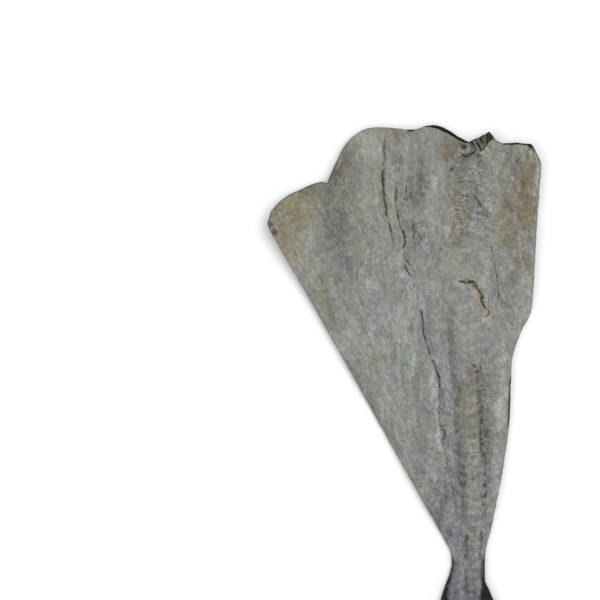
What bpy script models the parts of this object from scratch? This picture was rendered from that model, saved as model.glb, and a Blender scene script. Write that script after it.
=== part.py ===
"""Split, salted and dried pollock, lying on its skin with the cut side up.

The head is off and the fish is opened flat from the belly. The front of the backbone
has been cut out, and its rear still runs down to the tail. The whole fish is one
solid: a plan outline, a skin side that lies flat and lifts at the curled edges, and a
cut side with the loins, the belly flaps, the backbone, the splits and the tail fin.

Plan numbers are millimetres: x to the right of the fish's middle, y towards the nape,
and z up from the table. The object itself is in metres.
"""

import math

import bmesh
import bpy
import numpy as np
from mathutils import Matrix, Vector, noise
from mathutils.geometry import delaunay_2d_cdt

MM = 0.001

# Thickness of the meat with its skin
LOIN_HEIGHT = 19.0
REAR_HEIGHT = 12.5
PEDUNCLE_HEIGHT = 9.0
NAPE_HEIGHT = 8.5
EDGE_HEIGHT = 3.4
FIN_HEIGHT = 2.4

# Skin, which sticks out a little past the meat
SKIN_THICKNESS = 1.3
SKIN_LIP = 3.6
SKIN_MARGIN = 0.9

# How high the dried edges stand off the table
LEFT_CURL = 15.0
RIGHT_CURL = 9.0
BELLY_CURL = 3.4
NAPE_CURL = 3.2
TAIL_CURL = 6.0

# Backbone, tail fin and scrap
VERTEBRA_LENGTH = 10.5
RIDGE_HEIGHT = 4.6
FIN_RAYS = 10
FIN_ROOT = ((49, -196), (80, -196))
FIN_TIP = ((21, -255), (105, -255))
SCRAP_PLEATS = 5
SCRAP_ENDS = ((66, 238), (86, 246))

# Mesh spacing
OUTLINE_STEP = 6.0
CUT_STEP = 5.5
SKIN_STEP = 15.0
SPLIT_STEP = 4.5
FIN_STEP = 8.0
GRID_CLEARANCE = 0.55
LINE_CLEARANCE = 1.5

# The outline, anticlockwise from the fork of the tail fin, as runs that meet at corners
OUTLINE_RUNS = {
    "right fin lobe": [(64, -243), (80, -249), (97, -256), (108, -260)],
    "right fin edge": [(108, -260), (101, -238), (89.5, -213), (85, -202), (81, -194)],
    "right flank": [(81, -194), (80.5, -176), (82, -160), (86.5, -143), (94, -106), (100, -73),
                    (105, -37), (106, -12), (106.5, 12), (108, 29), (112, 43), (118, 59)],
    "right flap": [(118, 59), (125, 71), (127.5, 82), (129, 107), (131, 147), (133, 177), (135, 205),
                   (135.8, 222)],
    "right nape corner": [(135.8, 222), (131, 233), (126, 241.5)],
    "right nape": [(126, 241.5), (112, 243), (97, 243), (91, 247), (85, 254)],
    "fin scrap": [(85, 254), (76, 249), (65.5, 244)],
    "middle nape": [(65.5, 244), (54, 250), (43, 257), (33, 261), (22, 260.5), (13, 257), (5, 256.5),
                    (-6, 258), (-19, 259), (-30, 259), (-41, 256), (-51, 249.5), (-60, 239), (-67, 225),
                    (-73, 212), (-76.5, 203)],
    "left flap end": [(-76.5, 203), (-84, 204.5), (-101, 197.5), (-119, 188), (-131, 176), (-135.5, 163)],
    "left flank": [(-135.5, 163), (-131, 152), (-99, 97), (-60, 28), (-22, -40), (16, -108), (42, -154)],
    "left peduncle": [(42, -154), (47, -164), (48.5, -176), (46, -187)],
    "left fin edge": [(46, -187), (41, -200), (34, -220), (25, -243), (18, -260)],
    "left fin lobe": [(18, -260), (33, -256), (49, -249), (64, -243)],
}
LEFT_RUNS = ("left flank", "left peduncle", "left fin edge")
RIGHT_RUNS = ("right fin edge", "right flank", "right flap")

# Lines along the cut side, from the nape to the tail
MIDLINE = [(-12, 262), (-11, 172), (1, 127), (17, 75), (33, 17), (45, -43), (55, -93), (63, -143),
           (64, -200), (64, -262)]
BACKBONE = [(64, 100), (64, 87), (63.5, 47), (63.5, 13), (66.5, -33), (68.5, -73), (69, -113),
            (69.5, -153), (68, -188), (65, -208)]
LONG_SPLIT = [(-19.5, 253), (-20.5, 227), (-21.5, 202), (-20.5, 182), (-16.5, 165), (-12, 147), (-9, 134)]
SPINE_CUT = [(0.5, 239), (-3.5, 227), (-7.5, 212), (-8.5, 197), (-7.5, 180), (-3.5, 165), (1.5, 150),
             (1, 139), (3, 125), (8, 113), (11, 101), (14, 91)]
REAR_CUT = [(15, 83), (16, 77), (18.5, 62), (21, 47), (25, 33), (31, 20.5), (34, 11), (36.5, -3),
            (35, -24), (37.5, -38), (40, -55), (43, -75), (48, -95), (52.5, -113), (55.5, -133)]
BACKBONE_END = [(53.5, 106), (60, 103.5), (65, 105.5), (70, 101), (74.5, 93), (78, 86), (81, 80), (83, 73)]
BELLY_WALL = [(46, 222), (60, 205), (71, 187), (81, 170), (86.5, 147), (90, 129), (92, 112), (93.5, 92),
              (97, 77), (104, 62)]
FLAP_CREASE = [(-62, 228), (-68, 197), (-69, 157), (-65, 130), (-61, 100)]
SMALL_SPLIT = [(-46.5, 125), (-47.5, 112), (-46.5, 99), (-44, 87), (-40, 75)]
LEFT_CREST = [(-42, 250), (-40, 180), (-38, 120), (-5, 0), (20, -100)]
RIGHT_CREST = [(33, 250), (34, 170), (44, 60), (60, 0)]

# Grooves: line, half width, depth
GROOVES = [
    (LONG_SPLIT, 2.6, 4.2),
    (SPINE_CUT, 2.6, 3.0),
    (REAR_CUT, 2.8, 4.6),
    (BACKBONE_END, 2.6, 3.6),
    (BELLY_WALL, 7.0, 2.2),
    (FLAP_CREASE, 8.0, 1.8),
    (SMALL_SPLIT, 2.6, 1.4),
]


def smooth(start, end, value):
    """0 up to start, 1 from end on, and an S between them."""
    share = np.clip((value - start) / (end - start), 0.0, 1.0)
    return share * share * (3.0 - 2.0 * share)


def bump(centre, width, value):
    """A round hill: 1 at its centre, and a third of that one width away."""
    return np.exp(-(((value - centre) / width) ** 2))


def curve_through(points, step):
    """A smooth curve through the points, read at equal steps."""
    knots = [Vector(p) for p in points]
    knots = [knots[0] * 2 - knots[1]] + knots + [knots[-1] * 2 - knots[-2]]
    fine = []
    for a, b, c, d in zip(knots, knots[1:], knots[2:], knots[3:]):
        for t in np.arange(0, 1, 0.05):
            fine.append(0.5 * (2 * b + (c - a) * t + (2 * a - 5 * b + 4 * c - d) * t**2
                               + (3 * b - a - 3 * c + d) * t**3))
    fine = np.array([tuple(p) for p in fine + [knots[-2]]])
    passed = np.concatenate([[0.0], np.cumsum(np.hypot(*np.diff(fine, axis=0).T))])
    stops = np.linspace(0, passed[-1], max(2, round(passed[-1] / step) + 1))
    return np.stack([np.interp(stops, passed, column) for column in fine.T], axis=1)


def from_line(line, x, y):
    """Distance to a line, the side (+1 is its left), and the share of its length passed."""
    line = np.asarray(line, float)
    lengths = np.hypot(*np.diff(line, axis=0).T)
    passed = np.concatenate([[0.0], np.cumsum(lengths)])
    away = np.full(np.shape(x), np.inf)
    side = np.ones(np.shape(x))
    share = np.zeros(np.shape(x))
    for (ax, ay), (bx, by), length, start in zip(line, line[1:], lengths, passed):
        t = np.clip(((x - ax) * (bx - ax) + (y - ay) * (by - ay)) / length**2, 0.0, 1.0)
        here = np.hypot(x - ax - t * (bx - ax), y - ay - t * (by - ay))
        turn = np.sign((bx - ax) * (y - ay) - (by - ay) * (x - ax))
        side = np.where(here < away, turn, side)
        share = np.where(here < away, (start + t * length) / passed[-1], share)
        away = np.minimum(here, away)
    return away, side, share


def line_x(line, y):
    """x of a line that runs along the fish, at each y."""
    line = np.array(sorted(line, key=lambda point: point[1]), float)
    return np.interp(y, line[:, 1], line[:, 0])


def across(x, y):
    """0 on the midline, -1 on the left edge and 1 on the right one."""
    left = line_x([point for run in LEFT_RUNS for point in OUTLINE_RUNS[run]], y)
    right = line_x([point for run in RIGHT_RUNS for point in OUTLINE_RUNS[run]], y)
    middle = line_x(MIDLINE, y)
    return np.where(x < middle, (x - middle) / (middle - left), (x - middle) / (right - middle))


def skin_height(x, y):
    """The skin side: flat on the table under the loins, lifted where the dried edges curl."""
    u = across(x, y)
    left_rise = BELLY_CURL + (LEFT_CURL - BELLY_CURL) * smooth(20, 190, y) + 1.6 * np.sin(y / 21.0)
    right_rise = BELLY_CURL + (RIGHT_CURL - BELLY_CURL) * smooth(40, 170, y) + 1.2 * np.sin(y / 17.0 + 1.0)
    rise = smooth(0.42, 1.0, -u) ** 1.4 * left_rise + smooth(0.48, 1.0, u) ** 1.4 * right_rise
    rise = rise + NAPE_CURL * smooth(205, 262, y) * (1 + 0.4 * np.sin(x / 9.0))
    fin = smooth(-185, -262, y)
    return np.maximum(rise * (1 - fin) + fin * (TAIL_CURL + 1.2 * np.sin((x - 64) / 14.0)), 0.0)


def meat_height(x, y):
    """Thickness of the meat with its skin, before the relief."""
    u = across(x, y)
    middle = REAR_HEIGHT + (LOIN_HEIGHT - REAR_HEIGHT) * smooth(-60, 120, y)
    middle = middle + (PEDUNCLE_HEIGHT - REAR_HEIGHT) * smooth(-90, -170, y)
    middle = middle + (FIN_HEIGHT - middle) * smooth(-186, -212, y)
    edge = EDGE_HEIGHT + (FIN_HEIGHT - EDGE_HEIGHT) * smooth(-170, -200, y)
    left_flap = smooth(55, 130, y) * smooth(0.46, 0.64, -u)
    right_flap = smooth(50, 90, y) * smooth(0.58, 0.80, u)
    crown = np.clip(1 - np.abs(u) ** 2.2, 0, 1) * (1 - 0.78 * left_flap) * (1 - 0.72 * right_flap)
    thick = edge + (middle - edge) * crown
    to_nape = smooth(196, 262, y) * smooth(0.98, 0.75, np.abs(u))
    return thick + (np.minimum(thick, NAPE_HEIGHT) - thick) * to_nape


def loin_relief(x, y):
    """The long swells of the loins, and the hollow between them where the backbone came out."""
    crests = 1.6 * bump(line_x(LEFT_CREST, y), 15, x) + 1.6 * bump(line_x(RIGHT_CREST, y), 10, x)
    return crests * smooth(20, 120, y) - 2.2 * bump(13, 9, x) * bump(195, 46, y)


def backbone_relief(x, y):
    """The rear of the backbone: a ridge that swells at each vertebra, with a trench on either side."""
    away, side, share = from_line(BACKBONE, x, y)
    half = np.interp(share, [0, 0.06, 0.2, 0.35, 0.7, 0.85, 1.0], [10, 17, 13, 11, 10.5, 8, 5])
    height = RIDGE_HEIGHT * np.interp(share, [0, 0.04, 0.12, 0.6, 0.85, 1.0], [0.45, 0.8, 1, 1, 0.55, 0.1])
    count = round(sum(math.dist(a, b) for a, b in zip(BACKBONE, BACKBONE[1:])) / VERTEBRA_LENGTH)
    swell = 0.55 * np.cos(2 * math.pi * count * share) * smooth(0.28, 0.45, share)
    ridge = (height + swell) * np.clip(1 - (away / half) ** 2, 0, 1)
    trench = bump(half * 1.15, 3.2, away) * smooth(0.08, 0.3, share) * smooth(1.0, 0.8, share)
    return ridge - trench * np.where(side > 0, 1.8, 2.6)


def split_relief(x, y):
    """Splits and creases, each shallower at its ends, with the lips that stand up beside them."""
    depth = np.zeros(np.shape(x))
    for line, half_width, deep in GROOVES:
        away, _, share = from_line(line, x, y)
        fade = smooth(0.0, 0.12, share) * smooth(1.0, 0.88, share)
        depth = np.maximum(depth, deep * (0.25 + 0.75 * fade) * np.clip(1 - away / half_width, 0, 1))
    lips = np.zeros(np.shape(x))
    for line, left_lip, right_lip, reach in ((LONG_SPLIT, 0.3, 1.0, 7), (SPINE_CUT, 1.0, -0.6, 6),
                                             (REAR_CUT, -2.6, 1.6, 10)):
        away, side, share = from_line(line, x, y)
        fade = smooth(0.0, 0.1, share) * smooth(1.0, 0.9, share)
        lips = lips + np.where(side > 0, left_lip, right_lip) * fade * np.exp(-away / reach)
    return lips - depth


def fin_share(x, y):
    """0 along the left edge of the tail fin's rays, 1 along the right one."""
    (root_left, root_y), (root_right, _) = FIN_ROOT
    (tip_left, tip_y), (tip_right, _) = FIN_TIP
    down = (y - root_y) / (tip_y - root_y)
    left = root_left + (tip_left - root_left) * down
    right = root_right + (tip_right - root_right) * down
    return (x - left) / (right - left)


def fin_line(share):
    """A line down the tail fin, along a ray or between two."""
    root, tip = (Vector(a).lerp(Vector(b), share) for a, b in (FIN_ROOT, FIN_TIP))
    return curve_through([root, tip], FIN_STEP)


def fin_relief(x, y):
    """The rays of the tail fin, which stand up from its web."""
    return 0.35 * np.cos(2 * math.pi * (FIN_RAYS - 1) * fin_share(x, y)) * smooth(-192, -208, y)


def pleat_line(share):
    """A line across the scrap, along a pleat or between two."""
    foot = Vector(SCRAP_ENDS[0]).lerp(Vector(SCRAP_ENDS[1]), share)
    return curve_through([foot + Vector((-3, -6)), foot + Vector((1.5, 9))], 3.5)


def scrap_relief(x, y):
    """The pleated scrap of a fin, left in the notch of the nape."""
    (ax, ay), (bx, by) = SCRAP_ENDS
    along = ((x - ax) * (bx - ax) + (y - ay) * (by - ay)) / math.dist(*SCRAP_ENDS) ** 2
    zone = smooth(-0.2, 0.05, along) * smooth(1.2, 0.95, along) * smooth(-8, -4, y - ay - along * (by - ay))
    return zone * (1.8 + 0.9 * np.cos(2 * math.pi * SCRAP_PLEATS * along))


def crag_relief(x, y):
    """The uneven dried surface."""
    return np.array([noise.noise(Vector((px / 13, py / 26, 3.7))) for px, py in zip(x, y)])


def cut_height(x, y):
    """The cut side, above the table."""
    meat = meat_height(x, y)
    relief = loin_relief(x, y) + backbone_relief(x, y) + split_relief(x, y) + crag_relief(x, y)
    relief = relief * smooth(-207, -190, y) * (0.35 + 0.65 * smooth(2.0, 9.0, meat))
    relief = relief + fin_relief(x, y) + scrap_relief(x, y)
    return skin_height(x, y) + np.maximum(meat + relief, SKIN_THICKNESS + 0.7)


def outline_points():
    """The closed outline, each corner once."""
    return np.concatenate([curve_through(points, OUTLINE_STEP)[:-1] for points in OUTLINE_RUNS.values()])


def skin_past_meat(outline):
    """How far the meat stays inside the skin's edge, at each point of the outline."""
    x, y = outline.T
    dark_rim = smooth(238, 246, y) * smooth(20, 30, x) * smooth(70, 62, x)
    return SKIN_MARGIN + (SKIN_LIP - SKIN_MARGIN) * dark_rim


def inset(loop, distance):
    """Each point of an anticlockwise loop moved inwards, square to it."""
    ahead = np.roll(loop, -1, axis=0) - np.roll(loop, 1, axis=0)
    inwards = np.stack([-ahead[:, 1], ahead[:, 0]], axis=1)
    return loop + distance[:, None] * inwards / np.linalg.norm(inwards, axis=1, keepdims=True)


def is_inside(loop, points):
    """Whether each point lies inside a closed loop."""
    x, y = points.T
    inside = np.zeros(len(points), bool)
    for (ax, ay), (bx, by) in zip(loop, np.roll(loop, -1, axis=0)):
        if ay != by:
            inside ^= ((by > y) != (ay > y)) & (x < (bx - ax) * (y - ay) / (by - ay) + ax)
    return inside


def nearest(points, others):
    """The distance from each point to the nearest of the others."""
    return np.array([np.hypot(*(others - p).T).min() for p in points])


def grid_inside(loop, step, others):
    """Points of a triangular grid inside a loop, kept clear of the loop and of other points."""
    low, high = loop.min(0), loop.max(0)
    rows = np.arange(low[1], high[1], step * math.sqrt(0.75))
    points = np.array([(x, y) for i, y in enumerate(rows)
                       for x in np.arange(low[0] + (i % 2) * step / 2, high[0], step)])
    points = points[is_inside(loop, points)]
    return points[nearest(points, np.concatenate([loop, others])) > GRID_CLEARANCE * step]


def beside(line, offset):
    """The line moved sideways, to its right for a positive offset."""
    ahead = np.gradient(line, axis=0)
    aside = np.stack([ahead[:, 1], -ahead[:, 0]], axis=1)
    return line + offset * aside / np.linalg.norm(aside, axis=1, keepdims=True)


def feature_lines():
    """Lines that the triangles of the cut side follow: splits, backbone, fin rays and pleats."""
    lines = []
    for line, half_width, _ in GROOVES:
        centre = curve_through(line, SPLIT_STEP)
        lines += [centre, beside(centre, half_width), beside(centre, -half_width)]
    spine = curve_through(BACKBONE, VERTEBRA_LENGTH / 2)
    lines += [beside(spine, offset) for offset in (0, 5.5, -5.5, 10.5, -10.5, 14, -14, 18.5, -18.5)]
    lines += [fin_line(share) for share in np.linspace(0, 1, 2 * FIN_RAYS - 1)]
    lines += [pleat_line(share) for share in np.linspace(0, 1, 2 * SCRAP_PLEATS + 1)]
    return lines


def lay_lines(lines, loop):
    """Points and edges of the lines. A point near the loop, or near an earlier line, breaks its line."""
    points = np.empty((0, 2))
    edges = []
    for line in lines:
        earlier = np.concatenate([loop, points])
        usable = is_inside(loop, line) & (nearest(line, earlier) > LINE_CLEARANCE)
        places = len(points) + np.cumsum(usable) - 1
        edges += [(places[i], places[i + 1]) for i in range(len(line) - 1) if usable[i] and usable[i + 1]]
        points = np.concatenate([points, line[usable]])
    return points, edges


def add_sheet(mesh, loop, inner, edges, height, facing_up):
    """A triangulated sheet at the given heights. Returns the vertices of its loop."""
    given = [Vector(p) for p in np.concatenate([loop, inner])]
    edges = [(int(a) + len(loop), int(b) + len(loop)) for a, b in edges]
    plan, _, triangles, sources, _, _ = delaunay_2d_cdt(given, edges, [list(range(len(loop)))], 1, 1e-5)
    x, y = np.array([tuple(p) for p in plan]).T
    corners = [mesh.verts.new((px * MM, py * MM, pz * MM)) for px, py, pz in zip(x, y, height(x, y))]
    for triangle in triangles:
        a, b, c = (plan[i] for i in triangle)
        anticlockwise = (b - a).cross(c - a) > 0
        chosen = triangle if anticlockwise == facing_up else triangle[::-1]
        mesh.faces.new([corners[i] for i in chosen])
    place = {number: i for i, found in enumerate(sources) for number in found}
    return [corners[place[i]] for i in range(len(loop))]


def add_loop(mesh, plan, z):
    """The vertices of a loop at the given heights."""
    return [mesh.verts.new((px * MM, py * MM, pz * MM)) for (px, py), pz in zip(plan, z)]


def add_band(mesh, lower, upper):
    """The faces between two loops that run side by side, facing outwards."""
    for i, j in zip(range(len(lower)), list(range(1, len(lower))) + [0]):
        mesh.faces.new([lower[i], lower[j], upper[j], upper[i]])


def make_fish():
    """The whole fish as one closed mesh, from the skin side up."""
    mesh = bmesh.new()
    skin = outline_points()
    margin = skin_past_meat(skin)
    meat = inset(skin, margin)
    skin_top = skin_height(*skin.T) + SKIN_THICKNESS
    feature_points, feature_edges = lay_lines(feature_lines(), meat)
    cut_points = np.concatenate([feature_points, grid_inside(meat, CUT_STEP, feature_points)])
    skin_points = grid_inside(skin, SKIN_STEP, np.empty((0, 2)))
    under = add_sheet(mesh, skin, skin_points, [], skin_height, False)
    rim = add_loop(mesh, skin, skin_top)
    foot = add_loop(mesh, inset(skin, margin * 0.8), skin_top + 0.3)
    cut = add_sheet(mesh, meat, cut_points, feature_edges, cut_height, True)
    add_band(mesh, under, rim)
    add_band(mesh, rim, foot)
    add_band(mesh, foot, cut)
    bmesh.ops.triangulate(mesh, faces=mesh.faces)
    data = bpy.data.meshes.new("split_pollock")
    mesh.to_mesh(data)
    mesh.free()
    return data


def centre_on_box(data):
    """Moves the mesh so that the origin is under the middle of its box, on the table."""
    corners = np.array([vertex.co for vertex in data.vertices])
    low, high = corners.min(0), corners.max(0)
    middle = (low + high) / 2
    data.transform(Matrix.Translation((-middle[0], -middle[1], -low[2])))


def dried_meat():
    """Pale grey, matt, salty meat."""
    material = bpy.data.materials.new("dried_meat")
    material.use_nodes = True
    shader = material.node_tree.nodes["Principled BSDF"]
    shader.inputs["Base Color"].default_value = (0.27, 0.27, 0.24, 1.0)
    shader.inputs["Roughness"].default_value = 0.85
    shader.inputs["Metallic"].default_value = 0.0
    return material


def main():
    for old in list(bpy.data.objects):
        bpy.data.objects.remove(old)
    data = make_fish()
    centre_on_box(data)
    data.materials.append(dried_meat())
    data.shade_smooth()
    data.set_sharp_from_angle(angle=math.radians(50))
    fish = bpy.data.objects.new("split_pollock", data)
    bpy.context.scene.collection.objects.link(fish)


main()
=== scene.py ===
# %% [markdown]
# # A split, salted and dried pollock
# The fish lies on its skin, opened flat from the belly. This lesson dresses the plain solid
# of the fish: uneven meat with its splits and the ridge of its backbone, the dark skin under
# it, the tail fin, a pleated scrap of fin at the nape, frayed fibres and salt.
# Lengths are millimetres in the plan of the fish: x to the right, y towards the nape and z
# up from the table. Blender's own unit is the metre, so meshes are scaled by MM, and the
# plan's origin lies PLAN_CENTRE away from the solid's.

# %% Load the plain solid and keep its box
import math
from contextlib import contextmanager

import bmesh
import bpy
import numpy as np
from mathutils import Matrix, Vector
from mathutils.bvhtree import BVHTree


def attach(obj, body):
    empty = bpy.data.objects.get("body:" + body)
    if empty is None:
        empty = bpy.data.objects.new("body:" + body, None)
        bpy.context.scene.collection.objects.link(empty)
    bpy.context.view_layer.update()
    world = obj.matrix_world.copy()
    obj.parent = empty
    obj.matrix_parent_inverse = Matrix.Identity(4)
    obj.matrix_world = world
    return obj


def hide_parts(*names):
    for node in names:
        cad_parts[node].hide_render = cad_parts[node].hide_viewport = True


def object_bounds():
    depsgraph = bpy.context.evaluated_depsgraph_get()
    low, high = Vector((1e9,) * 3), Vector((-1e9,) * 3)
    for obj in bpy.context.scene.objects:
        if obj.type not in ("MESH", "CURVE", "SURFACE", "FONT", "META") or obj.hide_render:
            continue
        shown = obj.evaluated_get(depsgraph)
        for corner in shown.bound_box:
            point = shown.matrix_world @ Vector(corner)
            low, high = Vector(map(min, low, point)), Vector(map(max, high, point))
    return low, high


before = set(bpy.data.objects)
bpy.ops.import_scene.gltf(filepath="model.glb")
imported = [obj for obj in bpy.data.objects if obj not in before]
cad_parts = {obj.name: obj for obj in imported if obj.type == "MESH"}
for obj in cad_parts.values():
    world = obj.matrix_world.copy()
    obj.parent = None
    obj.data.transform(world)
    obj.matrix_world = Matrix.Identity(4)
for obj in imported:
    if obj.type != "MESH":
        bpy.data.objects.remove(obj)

MM = 0.001
PLAN_CENTRE = np.array((0.15, 0.63, 0.0))
NODE = "split_pollock"
BODY = "root"
cad_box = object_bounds()
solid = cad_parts[NODE]
print("solid:", [round((high - low) / MM, 1) for low, high in zip(*cad_box)], "mm")

# %% [markdown]
# ## Lines on the fish
# A split fish is read by its lines: where the knife cut the backbone out, where the dried
# loins cracked, where the thin belly wall begins. Each is a short list of points in the
# plan, and everything else - grooves, lips, stains, frayed fibres - is worked out from the
# distance to these lines, so one list shapes the mesh and colours it too.

# %% Lines in the plan, from the nape to the tail
MIDLINE = [(-12, 262), (-11, 172), (1, 127), (17, 75), (33, 17), (45, -43), (55, -93), (63, -143),
           (64, -200), (64, -262)]
BACKBONE = [(64, 100), (64, 87), (63.5, 47), (63.5, 13), (66.5, -33), (68.5, -73), (69, -113),
            (69.5, -153), (68, -188), (65, -208)]
LEFT_EDGE = [(-135.5, 163), (-131, 152), (-99, 97), (-60, 28), (-22, -40), (16, -108), (42, -154),
             (47, -164), (48.5, -176), (46, -187), (41, -200), (34, -220), (25, -243), (18, -260)]
RIGHT_EDGE = [(135.8, 222), (135, 205), (133, 177), (131, 147), (129, 107), (127.5, 82), (125, 71),
              (118, 59), (112, 43), (108, 29), (106.5, 12), (106, -12), (105, -37), (100, -73), (94, -106),
              (86.5, -143), (82, -160), (80.5, -176), (81, -194), (85, -202), (89.5, -213), (101, -238),
              (108, -260)]
TOP_SPLIT = [(-19.5, 254), (-19.5, 246), (-20.5, 233), (-21, 214)]
LONG_SPLIT = [(-20.8, 219), (-21.4, 203), (-20.5, 190), (-18.5, 177), (-16.5, 166)]
LOW_SPLIT = [(-17, 169), (-14.5, 158), (-12.5, 148), (-10.5, 134)]
NAPE_SPLIT = [(-1.5, 232), (-4, 224), (-6.5, 218)]
SPINE_CUT = [(-8, 203), (-8.5, 192), (-8.5, 180), (-7, 174), (-5.5, 165), (-3, 156)]
SPINE_CUT_END = [(-3, 158), (-0.5, 150), (0.5, 143), (-1.5, 137)]
UPPER_DASH = [(-0.5, 133), (1, 127), (4.5, 120.5)]
LOWER_DASH = [(-0.5, 122), (2.5, 116.5), (7, 109)]
DASH_STRIP = [(0.5, 128), (3, 121.5), (8, 114)]
CUT_BEADS = [(8, 105), (9.5, 99), (11, 93), (14, 86)]
SIDE_CUT = [(1, 202), (1.5, 192), (3.5, 184)]
REAR_CUT = [(15, 80), (17.5, 69), (19.5, 54), (22.5, 42), (26.5, 29)]
REAR_SEAM = [(26.5, 31), (31, 21), (34.5, 8), (36.5, -4)]
POCKET = [(36, -12), (34.5, -20), (34.5, -31), (38, -42)]
POCKET_HOOK = [(37.5, -41), (41, -44), (41.5, -49), (38.5, -52)]
NAPE_EDGE = [(126, 241.5), (112, 243), (97, 243), (91, 247), (85, 254), (76, 249), (65.5, 244), (54, 250),
             (43, 257), (33, 261), (22, 260.5), (13, 257), (5, 256.5), (-6, 258), (-19, 259), (-30, 259),
             (-41, 256), (-51, 249.5), (-60, 239), (-67, 225), (-73, 212), (-76.5, 203)]
BACKBONE_END = [(50.5, 108), (55, 105.5), (61, 104), (67.5, 105), (73, 97), (77, 91), (75.5, 85.5),
                (79, 80.5), (84.5, 75.5), (83.5, 72), (79, 69)]
BACKBONE_SHADE = [(61, 105.5), (67, 104.5), (71.5, 99), (76.5, 91)]
SCRAP_FOLD = [(55.5, 232.5), (60.5, 229), (66.5, 232), (71.5, 234.5)]
LOBE_EDGE = [(86.5, 247.5), (83, 243), (79.5, 237), (74.5, 234)]
BELLY_WALL = [(43.5, 217), (58.5, 197), (70.5, 187), (83.5, 169), (87.5, 149), (90.5, 127), (93.5, 99),
              (94.5, 84), (108.5, 62)]
WALL_CUT = [(66.5, 208), (68.5, 192), (77, 179), (85.5, 165)]
FLAP_SEAM = [(97, 77), (100.5, 71), (104.5, 66), (110.5, 60)]
WALL_FOOT = [(85.5, 147), (87.5, 134), (91.5, 116), (94, 95), (94.5, 80)]
RIDGE_SIDE = [(55.5, -60), (57, -72), (58.5, -88), (58.5, -100), (57, -114)]
BELLY_LINE = [(44.5, 219), (53.5, 197), (55.5, 184), (53.5, 164), (48.5, 134)]
LEFT_FLANK = [(45, 94), (45, 69), (45.5, 44), (49, 13), (52, -22), (53.5, -47), (55.5, -72),
              (57.5, -97), (59.5, -122), (60, -150)]
BLOOD_LINE = [(69.5, 21), (73, 7), (75, -11), (76, -32), (77.5, -52), (80, -70), (80.5, -98),
              (80, -112), (79, -130), (78.5, -152)]
SMALL_SPLIT = [(-46.5, 129), (-47.5, 109), (-44.5, 89), (-39.5, 77)]
TAIL_SEAM = [(43, -79), (44.5, -97), (46, -115), (48, -140)]
DARK_BAND = [(73, 2), (76, -12), (79, -35), (82, -60), (84, -80)]
VEIN_END = [(78, -122), (77.5, -136), (77, -150)]
CREASE = [(-67, 214), (-66, 190), (-62, 165), (-58, 140), (-55, 115)]
SMUDGE = [(1.5, 168), (5, 160), (9, 154), (14, 147), (11, 140)]
STALK_STREAKS = [[(56.5, -150), (58, -175), (58, -200), (57, -228)],
                 [(61.5, -140), (62.5, -172), (62, -190), (63, -210)],
                 [(70, -148), (71, -165), (71.5, -182)],
                 [(77, -140), (76.5, -165), (77, -184)],
                 [(51, -170), (52, -190), (51.5, -216)]]
VIOLET_STREAK = [(-9, 140), (-5, 126), (2, 108), (8, 96), (14, 82)]
PALE_STREAKS = [[(-33, 20), (-24, 5), (-12, -18)],
                [(5, 0), (12, -15), (20.5, -46)],
                [(-2, 60), (10, 30), (18, 5)]]
print("backbone:", round(sum(math.dist(a, b) for a, b in zip(BACKBONE, BACKBONE[1:]))), "mm")

# %% [markdown]
# ## Distances and noise
# Two tools do most of the work. `from_line` gives every vertex its distance to a line and
# how far along it lies. `cloud` is smooth random relief from a lattice of random numbers:
# it is written out here, rather than read from a texture, so that the same call gives the
# same relief each time and takes whole arrays at once.

# %% Tools that work on whole arrays of vertices
def smooth(start, end, value):
    """0 up to start, 1 from end on, and an S between them."""
    share = np.clip((value - start) / (end - start), 0.0, 1.0)
    return share * share * (3.0 - 2.0 * share)


def bump(centre, width, value):
    """A round hill, 1 at its centre."""
    return np.exp(-(((value - centre) / width) ** 2))


def from_line(line, x, y):
    """Distance to a line, the side (+1 is its left), and the share of its length passed."""
    line = np.asarray(line, float)
    lengths = np.hypot(*np.diff(line, axis=0).T)
    passed = np.concatenate([[0.0], np.cumsum(lengths)])
    away = np.full(np.shape(x), np.inf)
    side = np.ones(np.shape(x))
    share = np.zeros(np.shape(x))
    for (ax, ay), (bx, by), length, start in zip(line, line[1:], lengths, passed):
        t = np.clip(((x - ax) * (bx - ax) + (y - ay) * (by - ay)) / length**2, 0.0, 1.0)
        here = np.hypot(x - ax - t * (bx - ax), y - ay - t * (by - ay))
        turn = np.sign((bx - ax) * (y - ay) - (by - ay) * (x - ax))
        side = np.where(here < away, turn, side)
        share = np.where(here < away, (start + t * length) / passed[-1], share)
        away = np.minimum(here, away)
    return away, side, share


def line_x(line, y):
    """x of a line that runs along the fish, at each y."""
    line = np.array(sorted(line, key=lambda point: point[1]), float)
    return np.interp(y, line[:, 1], line[:, 0])


def across(x, y):
    """0 on the midline, -1 on the left edge and 1 on the right one."""
    left, middle, right = line_x(LEFT_EDGE, y), line_x(MIDLINE, y), line_x(RIGHT_EDGE, y)
    return np.where(x < middle, (x - middle) / (middle - left), (x - middle) / (right - middle))


def cloud(x, y, width, length, seed):
    """Smooth noise from -1 to 1, with blobs of the given width and length."""
    lattice = np.random.default_rng(seed).uniform(-1, 1, (256, 256))
    u, v = x / width + 100.5, y / length + 100.5
    i, j = np.floor(u).astype(int), np.floor(v).astype(int)
    s, t = smooth(0, 1, u - i), smooth(0, 1, v - j)
    corner = [[lattice[(i + a) % 256, (j + b) % 256] for b in (0, 1)] for a in (0, 1)]
    low = corner[0][0] * (1 - s) + corner[1][0] * s
    high = corner[0][1] * (1 - s) + corner[1][1] * s
    return low * (1 - t) + high * t


print("across the middle:", round(float(line_x(RIGHT_EDGE, 0) - line_x(LEFT_EDGE, 0))), "mm")

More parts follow.
